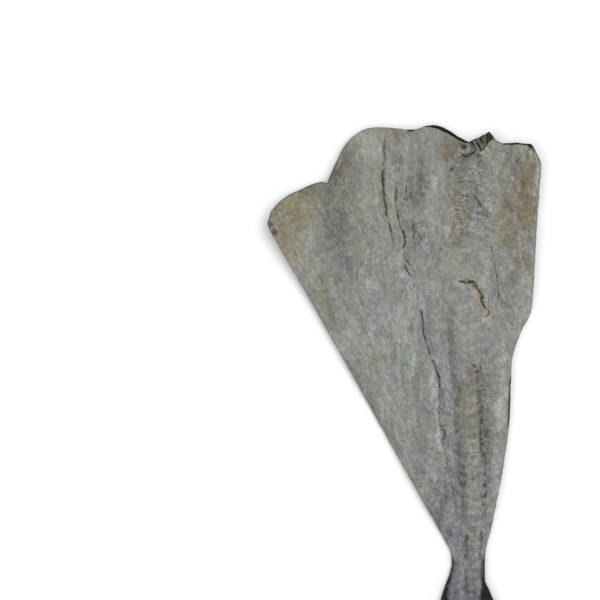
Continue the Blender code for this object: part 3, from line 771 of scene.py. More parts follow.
# Stains: name, x, y, half width, half length, turn in degrees, colour, strength
STAINS = [
    ("olive flap", -104, 180, 22, 24, -35, (139, 133, 110), 0.95),
    ("rusty tip", -122, 150, 8, 17, -30, (146, 134, 109), 0.9),
    ("tan under the tip", -112, 134, 8, 17, -30, (151, 141, 116), 0.8),
    ("pale rim of the flap", -125, 179, 4, 12, -40, (133, 124, 102), 0.7),
    ("pale flap", -97, 140, 11, 24, -25, (151, 151, 141), 0.8),
    ("pale lower flap", -90, 112, 8, 16, -25, (152, 154, 145), 0.8),
    ("olive top of the flap", -98, 193, 9, 7, -20, (107, 102, 78), 0.8),
    # painted shade: the foot of the crease is painted darker, as shade in the valley by the flap
    ("foot of the crease", -75, 146, 6, 12, 0, (107, 104, 97), 0.8),
    ("olive lower flap", -82, 96, 7, 18, -12, (128, 128, 112), 0.9),
    ("brown lower flap", -77, 70, 6, 14, -25, (134, 131, 115), 0.7),
    # painted shade: the three crease stains below paint the valley between the left flap and the loin darker,
    # the second with a purple tint too
    ("crease", -67, 190, 15, 42, 0, (105, 109, 97), 0.95),
    ("purple crease", -59, 214, 8, 24, -12, (118, 108, 104), 0.8),
    ("dark crease", -70, 184, 8, 36, 0, (134, 134, 130), 0.8),
    ("pale below the crease", -63, 118, 9, 22, 0, (124, 125, 120), 0.9),
    ("blue below the crease", -60, 104, 5, 22, 0, (132, 134, 137), 0.8),
    ("grey left of the crease", -84, 154, 8, 24, 0, (130, 131, 124), 0.7),
    ("left loin edge", -51, 180, 9, 60, 0, (130, 130, 120), 0.85),
    ("left loin", -32, 190, 12, 58, 0, (142, 144, 134), 0.8),
    ("left loin low", -27, 146, 10, 18, 0, (138, 140, 137), 0.7),
    ("grey below the loin edge", -50, 122, 6, 14, 0, (124, 122, 115), 0.8),
    ("olive loin", -50, 96, 8, 24, 6, (147, 149, 140), 0.7),
    ("pale foot of the loin", -35, 96, 8, 12, 0, (164, 167, 160), 0.8),
    ("pale top of the loin", -28, 233, 7, 12, 0, (162, 163, 155), 0.7),
    ("pale nape", -42, 247, 15, 6, 0, (159, 158, 146), 0.9),
    ("tan nape", -12, 252, 14, 6, 0, (135, 129, 109), 0.8),
    ("grey right of the top split", -12, 242, 5, 9, 0, (115, 113, 100), 0.8),
    ("strip between the splits", -14, 190, 5, 50, 0, (152, 154, 146), 0.85),
    ("hollow top", 5, 224, 9, 14, 0, (135, 139, 127), 0.6),
    # painted shade: the hollow of the right loin is painted darker
    ("dark hollow", 10, 198, 11, 24, -4, (119, 122, 116), 0.95),
    ("dark smudge", 13, 152, 8, 12, 0, (129, 131, 129), 0.9),
    # painted light: the crest of the right loin is painted lighter
    ("right loin light", 27, 190, 8, 36, -3, (143, 145, 139), 0.95),
    ("right loin low", 28, 136, 14, 24, 0, (131, 134, 129), 0.7),
    ("pale below the loins", 4, 92, 15, 20, -10, (151, 154, 155), 0.8),
    ("brown by the scrap", 47, 241, 12, 10, 0, (126, 119, 103), 0.9),
    ("lobe by the scrap", 89, 237, 7, 8, 0, (136, 131, 111), 0.8),
    ("grey under the scrap", 66, 223, 14, 9, 0, (111, 112, 106), 0.7),
    ("belly wall", 80, 214, 13, 18, 0, (129, 130, 120), 0.6),
    ("olive belly line", 60, 176, 8, 30, 4, (121, 120, 113), 0.85),
    ("grey wall", 74, 184, 7, 24, 24, (124, 125, 117), 0.75),
    ("pale right of the wall", 84, 182, 5, 14, 0, (161, 161, 151), 0.8),
    ("pale inside the wall", 81, 112, 5, 22, 0, (169, 171, 166), 0.8),
    ("pale right of the belly line", 75, 150, 8, 22, 10, (136, 139, 138), 0.7),
    ("pale under the belly line", 48, 130, 10, 11, 0, (148, 149, 137), 0.8),
    ("grey flap", 102, 205, 9, 28, 0, (128, 125, 110), 0.7),
    ("rust on the flap", 106, 176, 9, 22, -20, (127, 118, 100), 0.7),
    ("brown left of the corner", 113, 212, 6, 20, 0, (123, 118, 111), 0.8),
    ("tan right flap", 122, 190, 9, 40, 2, (124, 114, 93), 0.95),
    ("orange corner", 124, 222, 5, 10, 0, (129, 114, 89), 0.85),
    ("tan flap low", 104, 150, 11, 20, 16, (127, 122, 102), 0.85),
    ("pale flap edge", 132.5, 200, 2.5, 40, 0, (154, 152, 142), 0.8),
    ("tan at the spot", 117, 122, 9, 8, 0, (128, 121, 103), 0.8),
    ("grey below the spot", 112, 112, 5, 7, 0, (112, 109, 103), 0.8),
    ("pale flap below", 121, 92, 9, 22, 0, (160, 158, 151), 0.85),
    ("pale behind the hook", 79, 68, 6, 9, 0, (176, 172, 159), 0.8),
    ("grey right of the hook", 103, 82, 6, 10, 0, (124, 123, 116), 0.8),
    ("pale foot of the flap", 110, 59, 7, 9, 20, (160, 161, 152), 0.8),
    ("pale above the hook", 56, 108, 9, 7, 0, (152, 152, 142), 0.8),
    ("pale middle", -8, 66, 18, 30, -20, (147, 150, 143), 0.8),
    ("green middle", 0, 32, 15, 26, -20, (143, 149, 142), 0.9),
    ("grey left of the middle", -30, 54, 8, 26, -24, (151, 154, 148), 0.75),
    ("pale edge", -54, 52, 9, 42, -28, (147, 150, 145), 0.85),
    ("grey streak", -19, 14, 5, 24, -26, (143, 146, 139), 0.7),
    ("pale lower left", -8, -22, 7, 32, -28, (139, 142, 137), 0.85),
    ("green lower left", 12, -6, 6, 24, -20, (140, 144, 137), 0.8),
    ("grey lower left", 20, -42, 8, 18, -20, (131, 135, 129), 0.8),
    ("brown lower edge", 34, -112, 8, 34, -26, (118, 120, 120), 0.9),
    ("brown end of the lower edge", 39, -122, 4.5, 22, -14, (104, 103, 101), 0.9),
    ("ridge front", 64, 64, 12, 32, 0, (146, 147, 139), 0.9),
    ("ridge pink end", 72, 93, 7, 6, 30, (171, 162, 146), 0.85),
    ("ridge pink", 66, 14, 7, 8, 0, (115, 106, 103), 0.7),
    ("ridge olive", 62, 0, 6, 24, 0, (119, 116, 99), 0.85),
    ("ridge middle", 66, -36, 7, 16, 0, (125, 122, 112), 0.7),
    ("ridge low", 70, -88, 8, 38, 0, (138, 137, 132), 0.85),
    ("dark right of the ridge", 85, -25, 5, 42, -4, (132, 134, 130), 0.85),
    ("dark beside the pits", 83, -42, 6, 12, 0, (130, 130, 119), 0.7),
    ("dark beside the pits, low", 82, -71, 4.5, 10, 0, (98, 96, 93), 0.75),
    ("right strip", 98, 22, 6, 50, -4, (155, 156, 150), 0.9),
    ("white strip", 97, -28, 5, 22, -4, (171, 172, 167), 0.7),
    ("violet strip", 91, -85, 5, 42, -9, (149, 149, 149), 0.9),
    ("pale left of the hollow", 41, 74, 5, 26, -8, (144, 144, 132), 0.6),
    ("grey trench", 38, 45, 10, 40, -10, (136, 138, 132), 0.8),
    ("blue trench", 43, -2, 6, 22, -6, (142, 145, 142), 0.8),
    ("grey low trench", 46, -60, 5, 18, 0, (139, 142, 144), 0.7),
    ("pale left of the seam", 27, 8, 4, 9, -30, (177, 178, 173), 0.8),
    ("pale right of the flank", 53, 62, 4, 18, 0, (171, 173, 159), 0.7),
    ("pale lip above the pocket", 31.5, -8, 4.5, 14, -12, (178, 182, 177), 0.6),
    ("pale lip below the pocket", 36, -49, 4.5, 9, -12, (211, 215, 215), 0.5),
    # painted shade: the upper hollow down the left of the ridge is painted dark
    ("dark hollow, upper", 52.5, -14, 3.2, 26, -3, (94, 89, 70), 0.7),
    ("dark hollow, lower", 58, -88, 3.2, 32, -3, (152, 154, 141), 0.7),
    ("dark right of the vein start", 77, 12, 3.5, 8, 0, (78, 73, 64), 0.7),
    ("blue pocket", 38, -23, 3.5, 8, 0, (122, 124, 129), 0.9),
    ("blue lower", 54, -114, 7, 36, -3, (127, 130, 140), 0.9),
    ("blue stalk", 54, -158, 6, 26, 0, (112, 117, 126), 0.8),
    ("stalk", 68, -176, 10, 20, 0, (115, 117, 121), 0.8),
    ("violet side of the stalk", 51, -184, 8, 30, 0, (126, 127, 128), 0.8),
    # painted shade: the top of the crease by the left flap is painted dark
    ("top of the crease", -69, 208, 6, 14, 0, (87, 85, 81), 0.8),
    ("pale left of the belly line", 45, 148, 5, 14, 0, (181, 183, 173), 0.8),
    ("white spot of the right loin", 31, 200, 4, 9, 0, (172, 176, 170), 0.7),
    ("pale top of the left loin", -40, 232, 6, 10, 0, (168, 169, 161), 0.7),
    ("dull below the cut", -6, 92, 6, 10, 0, (121, 122, 115), 0.7),
    ("pale left of the trench", 33, 94, 5, 10, 0, (156, 160, 154), 0.7),
    ("pale lower edge", 23, -92, 4, 12, -26, (155, 156, 154), 0.7),
    ("pale right of the scrap", 92, 222, 5, 8, 0, (157, 155, 148), 0.7),
    ("violet edge by the stalk", 44.5, -142, 4.5, 13, -20, (92, 93, 98), 0.8),
    ("olive by the notch", 56, 244, 6, 5, 0, (114, 115, 87), 0.8),
    ("tail root", 64, -210, 22, 18, 0, (109, 112, 122), 0.9),
]
print("broad stains:", len(STAINS))

# %% Small marks, and stains along lines
# Small marks: name, x, y, radius, colour
MARKS = [
    ("spot by the right edge", 120.5, 127, 2.6, (112, 103, 86)),
    ("nape corner", 126.5, 236.5, 2.6, (84, 78, 70)),
    ("flap tip", -133, 162, 3.4, (92, 78, 72)),
    ("flap tip, low", -129, 154, 3.6, (80, 64, 67)),
    ("scrap side", 41, 226, 2.2, (114, 110, 110)),
    ("belly line top", 47, 217, 2.4, (55, 45, 15)),
    ("belly line second", 62, 191, 2.2, (88, 81, 62)),
    ("belly line third", 58, 174, 2.4, (103, 93, 87)),
    ("belly line fourth", 55, 156, 2.2, (100, 97, 83)),
    ("side of the hollow", 0, 187, 1.6, (68, 66, 54)),
    ("side of the hollow, low", 3, 180, 1.6, (69, 67, 55)),
    ("dark foot of the hollow", 5, 189, 4.5, (93, 94, 85)),
    ("smudge", 9, 158, 2.6, (87, 87, 85)),
    ("smudge, low", 16, 148, 2.6, (86, 88, 81)),
    ("vein start", 69.5, 22, 1.8, (54, 44, 42)),
    ("vein start, right", 76, 20, 1.5, (85, 80, 79)),
    ("vein, second", 72, 16, 1.8, (69, 58, 60)),
    ("shadow of the scrap", 69, 240.5, 2.8, (44, 32, 21)),
    # brown, and painted shade on the side of the crack above the cut backbone
    ("brown above the backbone", 70, 101, 3.0, (69, 61, 47)),
    ("foot of the scrap", 74.5, 231, 2.6, (60, 58, 49)),
    ("below the notch", 59.5, 238.5, 3.8, (25, 28, 17)),
    ("stalk spot", 65.5, -204, 1.7, (58, 60, 57)),
    ("stalk spot, right", 70, -204, 1.5, (66, 67, 66)),
    ("by the lobe", 96.5, 234.5, 1.3, (102, 96, 77)),
    ("by the lobe, right", 102.5, 232.5, 1.3, (96, 91, 72)),
    ("loin side", 26, 128, 1.6, (125, 125, 127)),
    ("grey spot by the corner", 112.5, 225, 2.4, (86, 88, 92)),
    ("flap rust", 105, 189, 3.4, (137, 120, 109)),
]

# Stains along a line: name, line, half width, side (1 left, -1 right, 0 both), patchiness, colour, strength
LINE_STAINS = [
    # painted shade: a band along the crease is painted darker
    ("band of the crease", CREASE, 8, 0, 0.4, (128, 128, 121), 0.5),
    ("belly line", BELLY_LINE, 10, 0, 1.0, (123, 120, 102), 0.8),
    ("brown of the belly line", BELLY_LINE, 3.5, 0, 2.4, (129, 125, 110), 0.55),
    ("dark belly wall", WALL_CUT, 3.2, 0, 1.0, (92, 92, 87), 0.7),
    ("grey foot of the wall", WALL_FOOT, 1.9, 0, 0.6, (98, 99, 95), 0.8),
    ("hatching left of the wall", BELLY_WALL, 8, -1, 1.2, (143, 142, 141), 0.4),
    # painted shade: the hollow along the left flank of the ridge is painted darker
    ("hollow by the backbone", LEFT_FLANK, 3.8, 0, 0.5, (115, 117, 111), 0.85),
    ("vein", BLOOD_LINE, 5.0, 1, 0.8, (137, 138, 132), 0.7),
    ("brown of the vein", BLOOD_LINE, 2.0, 0, 1.6, (149, 140, 135), 0.4),
    ("shadow right of the vein", BLOOD_LINE, 9, 1, 0.8, (124, 126, 124), 0.6),
    ("dark band by the vein", DARK_BAND, 5.5, 0, 1.4, (114, 112, 106), 0.6),
    ("pale end of the vein", VEIN_END, 4, 0, 0.4, (158, 163, 169), 0.7),
    # painted shade: the left side of the ridge is painted darker
    ("dark side of the ridge", RIDGE_SIDE, 2.8, 0, 1.6, (105, 105, 104), 0.7),
    ("blue side of the rear cut", REAR_CUT, 7, 1, 0.4, (118, 125, 133), 0.8),
    ("pale side of the seam", REAR_SEAM, 8, 1, 0.6, (163, 167, 172), 0.6),
    ("pale lip of the seam", REAR_SEAM, 4.0, -1, 0.4, (154, 156, 157), 0.85),
    ("pale lip of the pocket", POCKET, 4.5, -1, 0.4, (211, 215, 215), 0.55),
    # brown tint, and painted shade on the upper right side of the backbone's cut end
    ("brown front of the backbone", BACKBONE_END, 2.6, 1, 0.8, (137, 132, 115), 0.8),
    ("pink front of the backbone", BACKBONE_END, 3.5, -1, 0.5, (150, 139, 119), 0.6),
    # brown, and painted shade beside the long split
    ("rusty long split", LONG_SPLIT, 2.6, 0, 0.6, (89, 84, 69), 0.7),
    ("rusty low split", LOW_SPLIT, 2.2, 1, 0.8, (117, 119, 122), 0.5),
    ("pale side of the top split", TOP_SPLIT, 3.0, -1, 0.3, (167, 168, 157), 0.6),
    ("pale strip of the cut", DASH_STRIP, 1.1, 0, 0.3, (168, 166, 157), 0.8),
    # brown, and painted shade on the side of the crack at the backbone's end
    ("brown side of the cut backbone", BACKBONE_SHADE, 2.8, 1, 0.4, (84, 74, 55), 0.8),
    ("dark smudge marks", SMUDGE, 4.5, 0, 3.5, (120, 122, 111), 0.8),
    ("pale streak of the stalk", STALK_STREAKS[0], 2.0, 0, 0.4, (147, 149, 148), 0.7),
    ("dark streak of the stalk", STALK_STREAKS[1], 1.7, 0, 2.0, (84, 85, 82), 0.7),
    ("pale side of the stalk", STALK_STREAKS[2], 3.4, 0, 0.5, (144, 147, 139), 0.7),
    ("dark side of the stalk", STALK_STREAKS[3], 1.4, 0, 1.6, (88, 89, 86), 0.7),
    ("blue side of the stalk", STALK_STREAKS[4], 2.2, 0, 0.8, (96, 102, 108), 0.7),
    ("violet streak", VIOLET_STREAK, 5, 0, 0.3, (150, 153, 151), 0.9),
    ("pale seam", TAIL_SEAM, 2.0, 0, 0.5, (144, 152, 144), 0.7),
    ("dark scrap fold", SCRAP_FOLD, 4, 0, 0.6, (55, 48, 41), 0.7),
]
LINE_STAINS += [("pale streak", line, 1.5, 0, 0.3, (152, 156, 150), 0.85) for line in PALE_STREAKS]
print("marks:", len(MARKS), "and stains along lines:", len(LINE_STAINS))

# %% Lay the stains over each other
MARK_STRENGTH = 0.8
# painted shade: the joint pits are painted dark brown, for dried blood and for shade in the holes
PIT_BLOOD_AND_SHADE = (58, 54, 46)
PIT_STRENGTH = 0.75


def laid_over(colour, stain, much):
    """Mixes a stain, or a patch of painted shade or light, into the colours."""
    much = np.clip(much, 0, 1)[:, None]
    return colour + much * (np.array(stain, float) - colour)


def stain_and_shade_colours(x, y):
    """The colour of each vertex from its stains, painted shade and painted light, 0 to 255."""
    colour = np.tile(np.array(MEAT_COLOUR, float), (len(x), 1))
    wx = x + 3 * cloud(x, y, 12, 14, 31) + 2.2 * cloud(x, y, 4.5, 5, 32)
    wy = y + 6 * cloud(x, y, 16, 18, 33) + 4 * cloud(x, y, 5, 6, 34)
    for _, cx, cy, half_x, half_y, turn, stain, strength in STAINS:
        c, s = math.cos(math.radians(turn)), math.sin(math.radians(turn))
        u = ((wx - cx) * c + (wy - cy) * s) / half_x
        v = ((wy - cy) * c - (wx - cx) * s) / half_y
        colour = laid_over(colour, stain, strength * smooth(1.5, 0.35, np.hypot(u, v)))
    lx = x + 1.4 * cloud(x, y, 4, 4, 35)
    ly = y + 1.4 * cloud(x, y, 4, 4, 36)
    patches = 0.7 * cloud(x, y, 6, 8, 37) + 0.6 * cloud(x, y, 2.6, 3.2, 38)
    for _, line, half_width, side, patchy, stain, strength in LINE_STAINS:
        away, on_side, share = from_line(line, lx, ly)
        fade = smooth(0, 0.12, share) * smooth(1, 0.88, share) * (1 + patchy * patches)
        much = strength * fade * smooth(1.4, 0.2, away / half_width) * (on_side * side >= 0)
        colour = laid_over(colour, stain, much)
    mx, my = x + 1.2 * cloud(x, y, 2.4, 2.4, 39), y + 1.2 * cloud(x, y, 2.4, 2.4, 40)
    for _, cx, cy, radius, stain in MARKS:
        much = MARK_STRENGTH * smooth(1.3, 0.4, np.hypot(mx - cx, my - cy) / radius)
        colour = laid_over(colour, stain, much)
    # the pits painted dark: dried blood, and painted shade in the holes
    return laid_over(colour, PIT_BLOOD_AND_SHADE, PIT_STRENGTH * joint_pits(x, y))


print("right loin:", stain_and_shade_colours(*loin)[0].round())

# %% Rough patches
# Rough patches: name, x, y, half width, half length, strength
ROUGH = [
    ("smudge by the spine cut", 13, 153, 9, 14, 1.6),
    ("hollow", 12, 205, 10, 20, 0.6),
    ("round the scrap", 60, 234, 18, 14, 0.9),
    ("rough belly line", 56, 180, 10, 34, 0.7),
    ("belly wall", 74, 195, 12, 34, 0.8),
    ("front of the backbone", 78, 90, 14, 16, 0.6),
    ("spots on the backbone", 72, 18, 8, 9, 1.0),
    ("rough vein", 80, -60, 6, 90, 0.9),
    ("trench", 44, -40, 10, 70, 0.7),
    ("rear of the backbone", 66, -110, 20, 60, 0.35),
    ("rough stalk", 64, -185, 22, 45, 0.4),
    ("nape corner", 124, 232, 10, 10, 0.8),
    ("flap", 112, 190, 20, 50, 0.4),
    ("rough crease", -67, 185, 11, 50, 0.45),
    ("lower edge", 30, -95, 14, 45, 0.4),
]


def harshness(x, y):
    """1 where the surface is roughest."""
    most = np.zeros(len(x))
    for _, cx, cy, half_x, half_y, strength in ROUGH:
        inside = smooth(1.4, 0.4, np.hypot((x - cx) / half_x, (y - cy) / half_y))
        most = np.maximum(most, strength * inside)
    return most


print("rough patches:", len(ROUGH))

# %% Keep the colours on the vertices
TINGE = (1.5, 0.9, -3.4)
DARKEST = 5
PALEST = 250


def keep(data, name, kind, field, values):
    """Stores a value for each vertex, under a name that a material or a tree can ask for."""
    stored = data.attributes.new(name, kind, "POINT")
    stored.data.foreach_set(field, np.ascontiguousarray(values, float).ravel())


def keep_number(data, name, values):
    keep(data, name, "FLOAT", "value", values)


def edge_distance(x, y):
    """Distance to the nearer long edge."""
    return np.minimum(from_line(LEFT_EDGE, x, y)[0], from_line(RIGHT_EDGE, x, y)[0])


lean = fibre_lean(x, y)
patch = 0.6 * cloud(x, y, 7, 11, 63) + 0.5 * combed(x, y, 3.6, 2, 64) + 0.4 * cloud(x, y, 14, 22, 65)
streaks = combed(x, y, 3.0, 6, 62)
spine_away = from_line(BACKBONE, x, y)[0]
scallop = vertebra_beat(x, y) * bump(0, 8.5, spine_away) * smooth(70, 0, y) * smooth(-210, -190, y)
edge = edge_distance(x, y)
dark_edge = 0.5 * smooth(-3.5, 0.5, past_stalk(x, y)) * smooth(-160, -172, y)
dark_edge += 0.75 * smooth(2.0, 0.9, edge) * (x > 95) * smooth(-42, -36, y) * smooth(10, 4, y)
strip = 1 + 0.7 * smooth(-140, -175, y)
strip += 1.2 * smooth(40, 10, x) * smooth(90, 40, y)
shade = (1 + 0.035 * patch + 0.045 * strip * streaks) * (1 + 0.05 * scallop) * (1 - dark_edge)
tinge = 0.8 * cloud(x, y, 9, 12, 66) + 0.4 * cloud(x, y, 4, 5, 67)
colour = stain_and_shade_colours(x, y) * shade[:, None] + tinge[:, None] * np.array(TINGE)
stored_colour = linear(np.clip(colour, DARKEST, PALEST))
# the stored stain colour holds the painted shade and light of the stains and of the pits too
keep(meat.data, "stain", "FLOAT_COLOR", "color", np.column_stack([stored_colour, np.ones(len(x))]))
along_fibres = np.column_stack([np.sin(lean), -np.cos(lean), np.zeros(len(x))])
keep(meat.data, "flow", "FLOAT_VECTOR", "vector", along_fibres)
keep_number(meat.data, "lean", np.degrees(lean))
keep_number(meat.data, "split", split_edge(x, y))
# painted shade inside the splits, kept for the material
keep_number(meat.data, "darkness", split_painted_shade(x, y))
keep_number(meat.data, "raised", relief)
keep_number(meat.data, "harsh", harshness(x, y))
print("mean colour of the meat:", colour.mean(axis=0).round())

# %% The meat's material
PER_METRE = 1000.0
WISP_WIDTH = 1.6
WISP_LENGTH = 7.0
BEND_SIZE = 8.0
BEND = 8.0


def wisps(paint, bent, turn):
    """Streaks of noise that run along the fish, turned by some degrees to the right."""
    size = (WISP_WIDTH * MM, WISP_LENGTH * MM, WISP_LENGTH * MM)
    turned = paint.node("ShaderNodeMapping", {"vector_type": "TEXTURE"}, Vector=bent,
                        Rotation=(0, 0, math.radians(turn)), Scale=size)
    return paint.noise(turned, 1.0, detail=2, roughness=0.6)


def meat_material():
    paint = Paint("dried_meat")
    place = paint.place()
    stain = paint.colour_of("stain")
    lean = paint.number_of("lean")
    split = paint.number_of("split")
    darkness = paint.number_of("darkness")
    raised = paint.number_of("raised")
    harsh = paint.number_of("harsh")

    push = paint.noise(place, PER_METRE / BEND_SIZE, detail=1.5, output=1)
    bent = paint.node("ShaderNodeVectorMath", {"operation": "MULTIPLY_ADD"}, push, (BEND * MM,) * 3, place)
    straight = wisps(paint, bent, 4)
    wisp = straight + (wisps(paint, bent, 32) - straight) * lean.step(10, 26)
    wisp = wisp + (wisps(paint, bent, 78) - wisp) * abs(lean).step(42, 60)
    blobs = paint.noise(bent, 0.36 * PER_METRE, detail=2, roughness=0.6)
    mottle = paint.noise(place, 0.16 * PER_METRE, detail=2, roughness=0.6)
    speckle = paint.noise(place, 0.8 * PER_METRE, detail=2, roughness=0.7)
    curl = abs(paint.noise(bent, 0.24 * PER_METRE, detail=1.5) - 0.5).step(0.05, 0.0)
    crack = abs(blobs - 0.47).step(0.04, 0.0)

    shade = (wisp - 0.5) * 1.2 + (blobs - 0.5) * 0.7 + (speckle - 0.5) * 0.18 + (mottle - 0.5) * 0.65
    # painted light and shade: raised * 0.1 paints the crests of the relief lighter and its hollows darker
    shade = 1 + (shade + raised * 0.1 + curl * 0.06 - crack * (0.06 + harsh * 0.14)) * (0.8 + harsh * 0.75)
    colour = paint.mix(1.0, stain, paint.grey(shade), "MULTIPLY")

    frost = (wisp * 0.4 + blobs * 0.45 + raised * 0.12 + speckle * 0.3).step(0.64, 0.78)
    colour = paint.mix(frost * 0.3, colour, srgb(176, 178, 174))
    pit = (wisp * 0.3 + blobs * 0.7 + raised * 0.08 + speckle * 0.3).step(0.56, 0.48) * harsh
    colour = paint.mix(pit * 0.55, colour, srgb(62, 60, 55))

    lip = split.step(2.6, 0.8) * split.step(0.1, 0.6) * speckle.step(0.35, 0.6)
    colour = paint.mix(lip * 0.5, colour, srgb(170, 170, 163))
    # painted shade: the inside of each split is painted dark, as shade in the crack
    inside = (split + (speckle - 0.5) * 0.9).step(0.25, -0.25) * darkness
    colour = paint.mix(inside * 0.9, colour, srgb(46, 42, 35))

    height = wisp * 1.0 + blobs * 1.0 + speckle * 0.3 + curl * 0.15 - crack * 0.15
    return paint.finish(colour, 0.84 - frost * 0.2, paint.bump(height, 0.0011, 1.0))


def dress(obj, material):
    """Gives a finished piece its material and its body, and hides the plain solid."""
    obj.data.materials.clear()
    obj.data.materials.append(material)
    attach(obj, BODY)
    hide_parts(NODE)
    triangles = sum(len(polygon.vertices) - 2 for polygon in obj.data.polygons)
    sides = np.ptp(corners(obj.data), axis=0).round(1)
    print(f"{obj.name}: {triangles} triangles, {sides} mm")


dress(meat, meat_material())

# %% [markdown]
# ## The skin
# The skin is one thin sheet under the whole fish. From above only its edge shows, black at
# the nape and grey at the sides; from below it is all that shows. It is the solid's own
# underside, cut out, made finer with a simple subdivision, and given a thickness upwards by
# Solidify. Scales are too many to model one by one: they are a pattern in the material,
# over faint bumps in the mesh.

# %% Cut out the underside and thicken it
SKIN_THICK = 1.5
SKIN_OUT = 0.3
SKIN_LEVELS = 3
SKIN_PASSES = 10


def rim_ways(data):
    """Which vertices are on the rim of a sheet, and the way out of it at each."""
    mesh = bmesh.new()
    mesh.from_mesh(data)
    mesh.verts.ensure_lookup_table()
    rim = np.array([vertex.is_boundary for vertex in mesh.verts])
    outward = np.zeros((len(mesh.verts), 2))
    for edge in mesh.edges:
        if edge.is_boundary:
            along = edge.verts[1].co - edge.verts[0].co
            side = Vector((along.y, -along.x, 0)).normalized()
            middle = edge.link_faces[0].calc_center_median()
            if side.dot(middle - edge.verts[0].co) > 0:
                side = -side
            for vertex in edge.verts:
                outward[vertex.index] += (side.x, side.y)
    mesh.free()
    length = np.maximum(np.hypot(*outward.T), 1e-9)
    return rim, length, outward


def make_skin():
    skin = merged_copy("skin")
    with edited(skin.data) as mesh:
        others = [face for face in mesh.faces if face.normal.z > FACES_DOWN]
        bmesh.ops.delete(mesh, geom=others, context="FACES")
    finer = skin.modifiers.new("finer", "SUBSURF")
    finer.subdivision_type = "SIMPLE"
    finer.levels = finer.render_levels = SKIN_LEVELS
    bake_modifiers(skin)

    rim, length, outward = rim_ways(skin.data)
    z = smooth_heights(skin.data, SKIN_PASSES)
    points = corners(skin.data)
    ragged = SKIN_OUT + 0.25 * cloud(points[:, 0], points[:, 1], 4, 4, 71)
    points[:, :2] += np.where(rim, ragged / length, 0.0)[:, None] * outward
    points[:, 2] = np.maximum(z, 0.0)
    move_to(skin.data, points)
    wall = skin.modifiers.new("wall", "SOLIDIFY")
    wall.thickness = SKIN_THICK * MM
    wall.offset = -1
    bake_modifiers(skin)
    points = corners(skin.data)
    px, py = points[:, 0], points[:, 1]
    points[:, 2] += 0.12 * (1 + cloud(px, py, 3, 3, 72)) + 0.1 * (1 + cloud(px, py, 9, 14, 73))
    move_to(skin.data, points)
    nape = smooth(222, 228, py) * np.maximum(smooth(20, 22, px), bump(6.5, 3.5, px))
    side = (px > 95) * smooth(-43, -39, py) * smooth(13, 9, py)
    stalk = 0.75 * smooth(-164, -169, py)
    from_rim = np.minimum(edge_distance(px, py), from_line(NAPE_EDGE, px, py)[0])
    dark = np.maximum(nape * smooth(8, 5, from_rim), np.maximum(side, stalk) * smooth(3.5, 2, from_rim))
    keep_number(skin.data, "dark_rim", dark)
    pale = smooth(3.0, 1.0, from_rim) * (1 - np.maximum.reduce([nape, side, stalk]))
    keep_number(skin.data, "pale_rim", pale)
    skin.data.shade_smooth()
    keep_number(skin.data, "middle", np.abs(across(px, py)))
    return skin


def skin_material():
    paint = Paint("dried_skin")
    place = paint.place()
    middle = paint.number_of("middle")
    height = paint.node("ShaderNodeSeparateXYZ", {}, place, output=1) * PER_METRE
    scales = paint.cells(paint.stretched(place, (0.55 * PER_METRE, 0.42 * PER_METRE, 0.3 * PER_METRE)), 1.0)
    blotch = paint.noise(place, 0.035 * PER_METRE, detail=5, roughness=0.65)
    fine = paint.noise(place, 0.6 * PER_METRE, detail=4, roughness=0.7)

    pale = (middle + (blotch - 0.5) * 0.9).step(0.45, 1.0) * height.step(246, 225)
    colour = paint.mix(pale, srgb(24, 24, 25), srgb(112, 116, 120))
    colour = paint.mix(blotch.step(0.5, 0.66) * 0.35, colour, srgb(58, 57, 52))
    line = abs(middle + (blotch - 0.5) * 0.03 - 0.5).step(0.012, 0.004) * fine.step(0.4, 0.6)
    colour = paint.mix(line * 0.5 * height.step(246, 225), colour, srgb(142, 144, 142))
    colour = paint.mix(scales.step(0.25, 0.6) * 0.35, colour, srgb(24, 25, 27))
    salted = (fine + blotch * 0.9).step(1.02, 1.16) * height.step(250, 236)
    colour = paint.mix(salted * 0.5, colour, srgb(160, 162, 160))
    colour = paint.mix(paint.number_of("pale_rim") * 0.9, colour, srgb(144, 142, 132))
    black = paint.mix(fine.step(0.45, 0.7) * 0.4, srgb(8, 8, 7), srgb(52, 51, 49))
    colour = paint.mix(paint.number_of("dark_rim") * 0.95, colour, black)
    return paint.finish(colour, 0.5 + fine * 0.25, paint.bump(fine * 0.4 - scales * 0.7, 0.0006, 0.8), 0.15)


dress(make_skin(), skin_material())

# %% [markdown]
# ## The tail fin
# The fin is dried hard and nearly black, with a fan of rays that fork towards its edge. Its
# web is the solid's own fin, remeshed finely and rippled. The rays follow paths, so Geometry
# Nodes sweep a small circle along each, thinner towards the tip.

# %% The web of the fin
FIN_START = -190.0
FIN_VOXEL = 0.9
FIN_RAYS = 10
FIN_ROOT = (-221.0, 40.0, 87.0)
FIN_TIP = (-255.0, 21.0, 105.0)
FORK = (64.0, -239.0, 0.52)
FIN_PASSES = 4


def ray_place(across_it, along_it):
    """Where a ray is: 0 to 1 across the fin, 0 at the root and 1 at the tip."""
    root_y, root_a, root_b = FIN_ROOT
    tip_y, tip_a, tip_b = FIN_TIP
    root_x = root_a + (root_b - root_a) * across_it
    tip_x = tip_a + (tip_b - tip_a) * across_it
    fork_x, fork_y, slant = FORK
    end_y = max(tip_y, fork_y - slant * abs(tip_x - fork_x))
    return root_x + (tip_x - root_x) * along_it, root_y + (end_y - root_y) * along_it


def ray_share(x, y):
    """How far across the fin a place is, from 0 to 1."""
    along_it = np.clip((FIN_ROOT[0] - y) / (FIN_ROOT[0] - FIN_TIP[0]), 0, 1.1)
    left, _ = ray_place(0.0, along_it)
    right, _ = ray_place(1.0, along_it)
    return (x - left) / (right - left)


